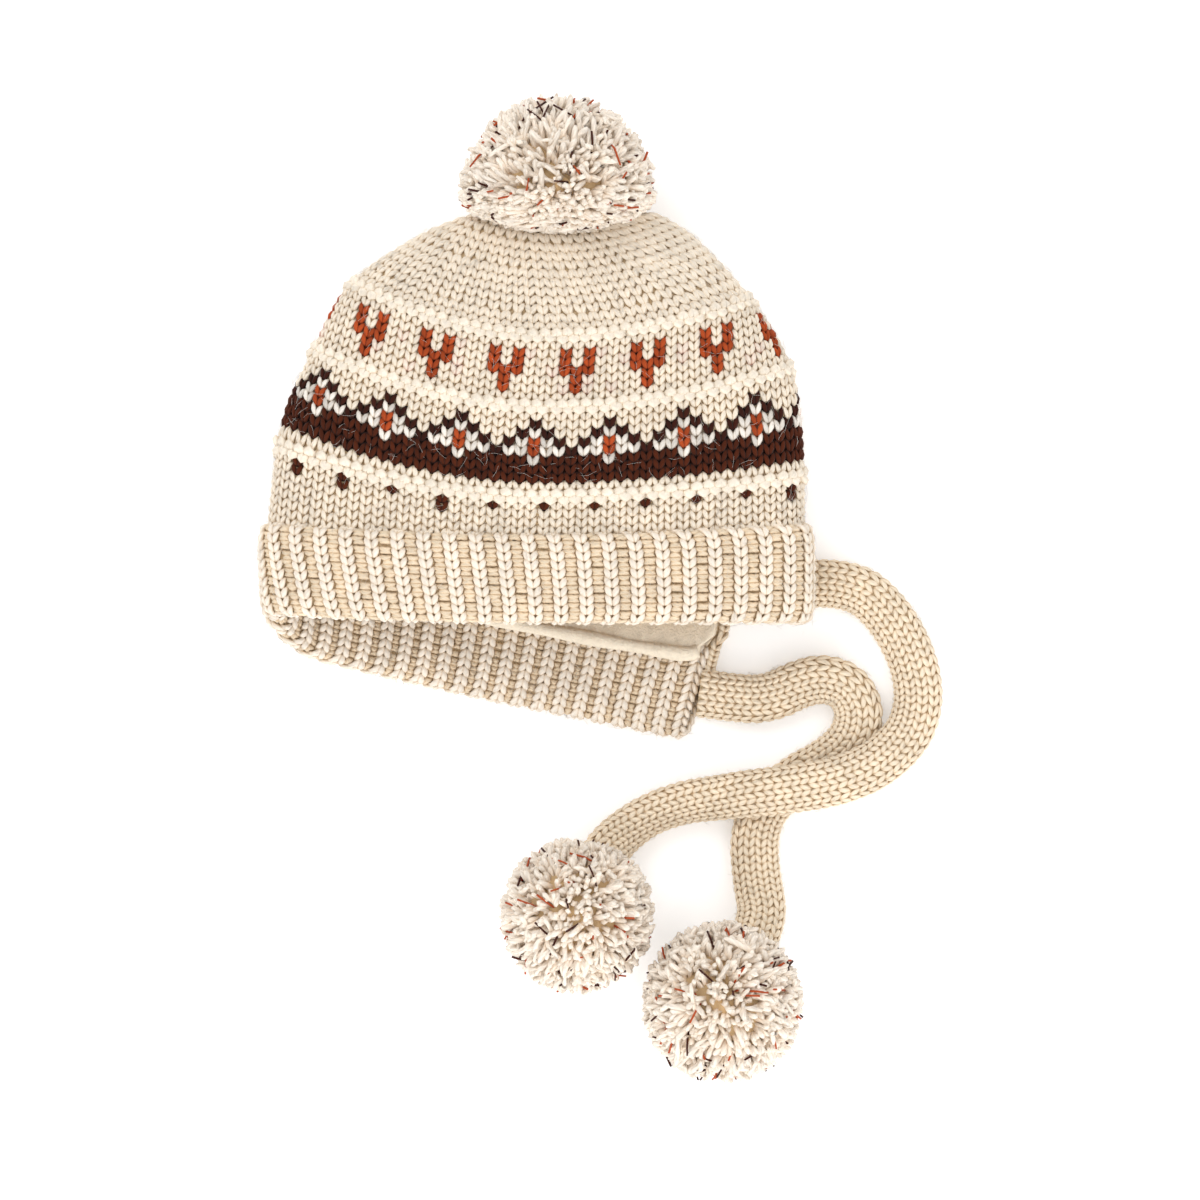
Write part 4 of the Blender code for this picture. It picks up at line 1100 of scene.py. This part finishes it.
# ribbed cuff
cuff = {"ribSpacing": 0.0118, "farRibSpacing": 0.0104, "rowPitch": 0.0040, "bodyInset": 0.0008,
        "valley": 0.0009, "lowest": 0.0006, "legWide": 0.00148, "legHigh": 0.00125, "legLift": 0.0010,
        "legSpread": 0.56, "farSpread": 0.66, "bumpWide": 0.00125, "bumpHigh": 0.00110,
        "bumpLift": 0.0011, "bumpInset": 0.0010, "farBumpInset": 0.0006, "farFrom": (0.46, 0.56),
        "endTrim": 0.0036, "endRound": 0.0042, "endColumns": 5, "endRib": -0.22,
        "sectionPower": 0.5, "perRib": 8, "perRow": 4, "bodyEvery": 3, "fuzz": 1100,
        "bumpWander": (0.02, 0.08), "farNarrow": 0.25, "farValleyShade": 0.2, "tintSpread": 0.14}


def cuffPatchAndRibs():
    # a rounded section carried round the open loop and closed to a round edge at both ends; u counts
    # ribs, v counts rows from the rim up the outer face, over the top and down the inner face
    turn = np.linspace(-math.pi / 2, 1.5 * math.pi, 2 * loopSamples - 1)
    half = hat["cuffWall"] / 2
    through = signedPower(np.cos(turn), cuff["sectionPower"])
    along = signedPower(np.sin(turn), cuff["sectionPower"])
    length = walked(np.stack((half * through, hat["cuffHeight"] / 2 * along), axis=-1))
    rows = round(length[-1] / cuff["rowPitch"])
    at = np.interp(np.linspace(0.0, length[-1], cuff["perRow"] * rows + 1), length, turn)

    def countRibs(row, out, bottom):
        # angles along the loop and how many ribs lie up to each; they lie closer on the far face
        dense = np.linspace(hat["slitAngle"], farAngle(row["end"]), 2 * loopSamples - 1)
        steps = np.linalg.norm(np.diff(loopPoints(row, dense, out, bottom), axis=0), axis=1)
        far = ease(*hat["leftSlide"], (dense[1:] + dense[:-1]) / 2)
        spacing = cuff["ribSpacing"] * (1 - far) + cuff["farRibSpacing"] * far
        return dense, np.concatenate(([0.0], np.cumsum(steps / spacing)))

    ribs = max(8, round(countRibs(cuffRow(0.5), hat["cuffProud"], 0.0)[1][-1]))
    middle = hat["cuffProud"] - half
    coreShare = 1 - hat["cuffWall"] / hat["cuffHeight"]
    bend = np.arange(1, cuff["endColumns"] + 1) / cuff["endColumns"] * math.pi / 2
    grid = []
    for angle in at:  # one line round the hat at a time
        along = signedPower(np.sin(angle), cuff["sectionPower"])
        row = cuffRow(0.5 - 0.5 * along)
        out = middle + half * signedPower(np.cos(angle), cuff["sectionPower"])
        dense, counted = countRibs(row, out, hat["cuffProud"] - out)
        places = np.linspace(cuff["endTrim"] / cuff["ribSpacing"],
                             counted[-1] - cuff["endTrim"] / cuff["farRibSpacing"],
                             cuff["perRib"] * ribs + 1)
        angles = np.interp(places, counted, dense)
        line = loopPoints(row, angles, out, hat["cuffProud"] - out)
        core = loopPoints(cuffRow(0.5 - 0.5 * along * coreShare), angles[[0, -1]], middle,
                          hat["cuffProud"] - middle)
        parts = []
        for end, beside in ((0, 1), (-1, -2)):
            outward = unit(line[end] - line[beside])
            parts.append(core[end] + (line[end] - core[end]) * np.cos(bend)[:, None]
                         + outward * cuff["endRound"] * np.sin(bend)[:, None])
        grid.append(np.concatenate((parts[0][::-1], line, parts[1])))
    grid = np.array(grid)
    middles = grid.mean(axis=0, keepdims=True)
    patch = makePatch(grid, -cuff["endColumns"] / cuff["perRib"], 1 / cuff["perRib"],
                      0.0, 1 / cuff["perRow"], False, middles)
    return patch, ribs, rows


cuffPatch, ribCount, cuffRowCount = cuffPatchAndRibs()
ribStep = (ribCount - 2 * cuff["endRib"]) / ribCount
ribPlaces = cuff["endRib"] + ribStep * np.arange(ribCount + 1)


def farShare(ribs):
    # 0 for ribs on the near face, 1 for those on the far face
    return ease(*cuff["farFrom"], ribs / ribCount)


def cuffBody(name):
    # the wall behind the stitches, thick on its ribs and drawn in between them, closed at both ends
    chosen = slice(None, -1, cuff["bodyEvery"])
    points, normals = cuffPatch["points"][chosen], cuffPatch["normals"][chosen]
    place = (np.arange(points.shape[1]) - cuff["endColumns"]) / cuff["perRib"]
    atEnd = (place < 0) | (place > ribCount)  # the rounded ends are all rib
    depth = 0.5 - 0.5 * np.cos(tau * (place - cuff["endRib"]) / ribStep)
    inset = cuff["bodyInset"] + np.where(atEnd, 0.0, cuff["valley"] * depth)
    ring = points - normals * inset[None, :, None]
    ring[..., 2] = np.maximum(ring[..., 2], cuff["lowest"])
    rows, columns = ring.shape[:2]
    index = np.arange(rows * columns).reshape(rows, columns)
    index = np.concatenate((index, index[:1]))
    ends = np.stack((ring[:, 0].mean(axis=0), ring[:, -1].mean(axis=0)))
    faces = [turned(gridFaces(index, (0.0, 0.0, 0.9, 1.0), (columns * 1.5, rows * 2.0))),
             fanFaces(index[:-1, 0], rows * columns, (0.9, 0.0, 1.0, 0.4)),
             fanFaces(index[-2::-1, -1], rows * columns + 1, (0.9, 0.5, 1.0, 0.9))]
    points = np.concatenate((ring.reshape(-1, 3), ends))
    # painted shade: the wall takes the gap colour, but its rounded ends take the rib colour
    tints = np.where(atEnd[None, :, None], toLinear(yarn["rib"]), toLinear(yarn["gap"]))
    tints = np.broadcast_to(tints, ring.shape).reshape(-1, 3)
    tints = np.concatenate((tints, oneColour("rib", len(ends))))
    group = {"points": points, "faces": faces, "tints": tints}
    return buildPiece(name, [group], chunkyWool)


def cuffRibs(name):
    # a column of V stitches on each rib, from the rim up the outer face and down the inner one
    rng = np.random.default_rng(41)
    rib, row = (part.ravel() for part in np.meshgrid(ribPlaces, np.arange(cuffRowCount)))
    spread = cuff["legSpread"] + (cuff["farSpread"] - cuff["legSpread"]) * farShare(rib)

    def place(across, up):
        ribs, rows = rib[:, None] + spread[:, None] * across, row[:, None] + up
        return readPatch(cuffPatch, ribs, rows % cuffRowCount)

    count = len(rib)
    # the ribs take the lightened cream, painted light, with the painted shade colour at their legs' ends
    groups = stitchLegs(place, count, oneColour("rib", count), oneColour("shade", count),
                        (0.0, 0.0, 0.9, 1.0), rng, cuff["legWide"], cuff["legHigh"], cuff["legLift"])
    groups.append(fuzzGroup(cuffPatch, (0.0, ribCount), (0.0, cuffRowCount), cuff["fuzz"], "rib", rng))
    return buildPiece(name, groups, chunkyWool)


def cuffValleys(name):
    # purl bumps between the ribs, small arcs that lie across them
    rng = np.random.default_rng(42)
    arc = np.array((  # across (ribs), up (rows), out, width and shade
        (-0.26, -0.22, -0.8, 0.6, 0.2), (-0.13, 0.00, 0.5, 1.0, 0.8), (0.0, 0.09, 0.8, 1.1, 1.0),
        (0.13, 0.00, 0.5, 1.0, 0.8), (0.26, -0.22, -0.8, 0.6, 0.2)))
    valley, row = (part.ravel() for part in np.meshgrid((ribPlaces[1:] + ribPlaces[:-1]) / 2,
                                                        np.arange(2 * cuffRowCount) / 2))
    flip = np.where(row % 1 > 0.25, -1, 1)[:, None]
    rise = cuff["bumpWander"][1] * rng.normal(size=(len(row), 1))
    shift = cuff["bumpWander"][0] * rng.normal(size=(len(row), 1))
    far = farShare(valley)[:, None]  # the far face's valleys are narrow and deep
    across = shift + arc[:, 0] * (1 - cuff["farNarrow"] * far)
    places = valley[:, None] + across, (row[:, None] + rise + flip * arc[:, 1]) % cuffRowCount
    out = cuff["bumpLift"] * arc[:, 2] - cuff["bumpInset"] - cuff["farBumpInset"] * far
    points, normals = readPatch(cuffPatch, *places, out)
    count = len(valley)
    # painted shade: the valleys take the darkened cream, and those on the far face move further towards the
    # shade colour
    shade = oneColour("valleyShade", count)
    light = oneColour("valley", count) * (1 - cuff["farValleyShade"] * far) + shade * cuff["farValleyShade"] * far
    tints = legTints(light, shade, arc[:, 4], cuff["tintSpread"], rng)
    group = tubeGroup(points, normals, cuff["bumpWide"] * arc[:, 3], cuff["bumpHigh"] * arc[:, 3], 4,
                      tints, (0.0, 0.0, 1.0, 1.0), shade)
    return buildPiece(name, [group], chunkyWool)


for piece in (cuffBody("cuff_wall"), cuffRibs("cuff_ribs"), cuffValleys("cuff_valleys")):
    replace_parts(piece, "ribbed_cuff")
print("ribbed cuff")


# fleece lining
lining = {"wall": 0.0020, "overlap": 0.0050, "gap": 0.0003, "crownGap": 0.0010, "pile": 0.0005,
          "hemRise": 0.0012, "hemRadius": 0.0026, "hemWide": 1.25, "hemWave": 0.0003, "hemSides": 10,
          "rings": 36, "columns": 192, "reach": 0.84, "innerReach": 0.985, "seed": 51,
          "hemDowns": (1.0, 0.6, 0.25), "shadeDepth": (-0.2, 1.6), "ringsDeep": 6,
          "waveTurn": 0.55, "swellTurn": 0.37, "swell": 0.10}


def liningBody(name):
    # the fleece follows the crown inside its wall; its lowest rings lie over the cuff's inner face
    scale = 1 - lining["wall"] / hat["crownHeight"]
    slitTop = hat["slitLength"] / hat["crownHeight"]
    heights = np.unique(np.append(np.linspace(0.0, lining["reach"], lining["rings"]) * scale, slitTop))
    share = np.linspace(0.0, 1.0, lining["columns"] + 1)
    inside = max(hat["cuffWall"] - hat["cuffProud"] + lining["gap"], hat["knitWall"] + lining["crownGap"])
    rng = np.random.default_rng(lining["seed"])
    outer, inner = [], []
    hemDowns = np.array(lining["hemDowns"])
    for down in hemDowns:  # one ring at a time
        row = cuffRow(down * lining["overlap"] / hat["cuffHeight"])
        angles = evenAngles(row, farAngle(row["end"]), share)
        bottom = inside + hat["cuffProud"]
        outer.append(loopPoints(row, angles, -inside, bottom))
        inner.append(loopPoints(row, angles, -inside - lining["wall"], bottom + lining["wall"]))
    for height in heights:
        row = crownRow(height)
        angles = evenAngles(row, float(slitEnd(height)), share)
        bottom = inside + max(0.0, 1 - height / crown["heights"][0]) * hat["cuffProud"]
        outer.append(loopPoints(row, angles, -inside, bottom))
        innerRow = crownRow(heights[0] + (height - heights[0]) * lining["innerReach"])
        inner.append(loopPoints(innerRow, angles, -inside - lining["wall"], bottom + lining["wall"]))
    outer, inner = np.array(outer), np.array(inner)
    toInside = unit(inner - outer)
    closedFrom = len(hemDowns) + int(np.searchsorted(heights, slitTop))
    bumps = lining["pile"] * (rng.random(inner.shape[:2]) - 0.5)
    bumps[closedFrom:, -1] = bumps[closedFrom:, 0]
    inner = inner + toInside * bumps[..., None]
    # painted shade: the fleece goes from its own colour towards its shade colour, ring by ring deeper
    # inside the hat
    depth = np.concatenate((-hemDowns, np.arange(len(heights)) / lining["ringsDeep"]))
    inShade = ease(*lining["shadeDepth"], depth)[:, None, None]
    tints = toLinear(yarn["fleece"]) * (1 - inShade) + toLinear(yarn["fleeceShade"]) * inShade
    tints = np.broadcast_to(tints, outer.shape)
    body = shellGroup(outer, inner, closedFrom, tints)
    body["faces"] = [(f[0], f[1], f[2] * (0.9, 1.0)) for f in body["faces"]]
    # the hem is turned under and stands up as a soft roll
    line = (outer[1] + inner[1]) / 2 + toInside[1] * lining["hemRise"]
    wave = lining["hemWave"] * np.sin(np.arange(len(line)) * lining["waveTurn"])[:, None]
    line = line + toInside[1] * wave
    normals = toInside[1][None]
    swell = lining["swell"] * np.sin(np.arange(len(line)) * lining["swellTurn"] + 1.0)
    radius = lining["hemRadius"] * (1 + swell)[None]
    roll = tubeGroup(line[None], normals, radius * lining["hemWide"], radius, lining["hemSides"],
                     np.broadcast_to(toLinear(yarn["fleece"]), (1, 3)), (0.91, 0.0, 1.0, 1.0))
    return buildPiece(name, [body, roll], brushedFleece)


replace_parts(liningBody("fleece_lining"), "lining")
print("lining")
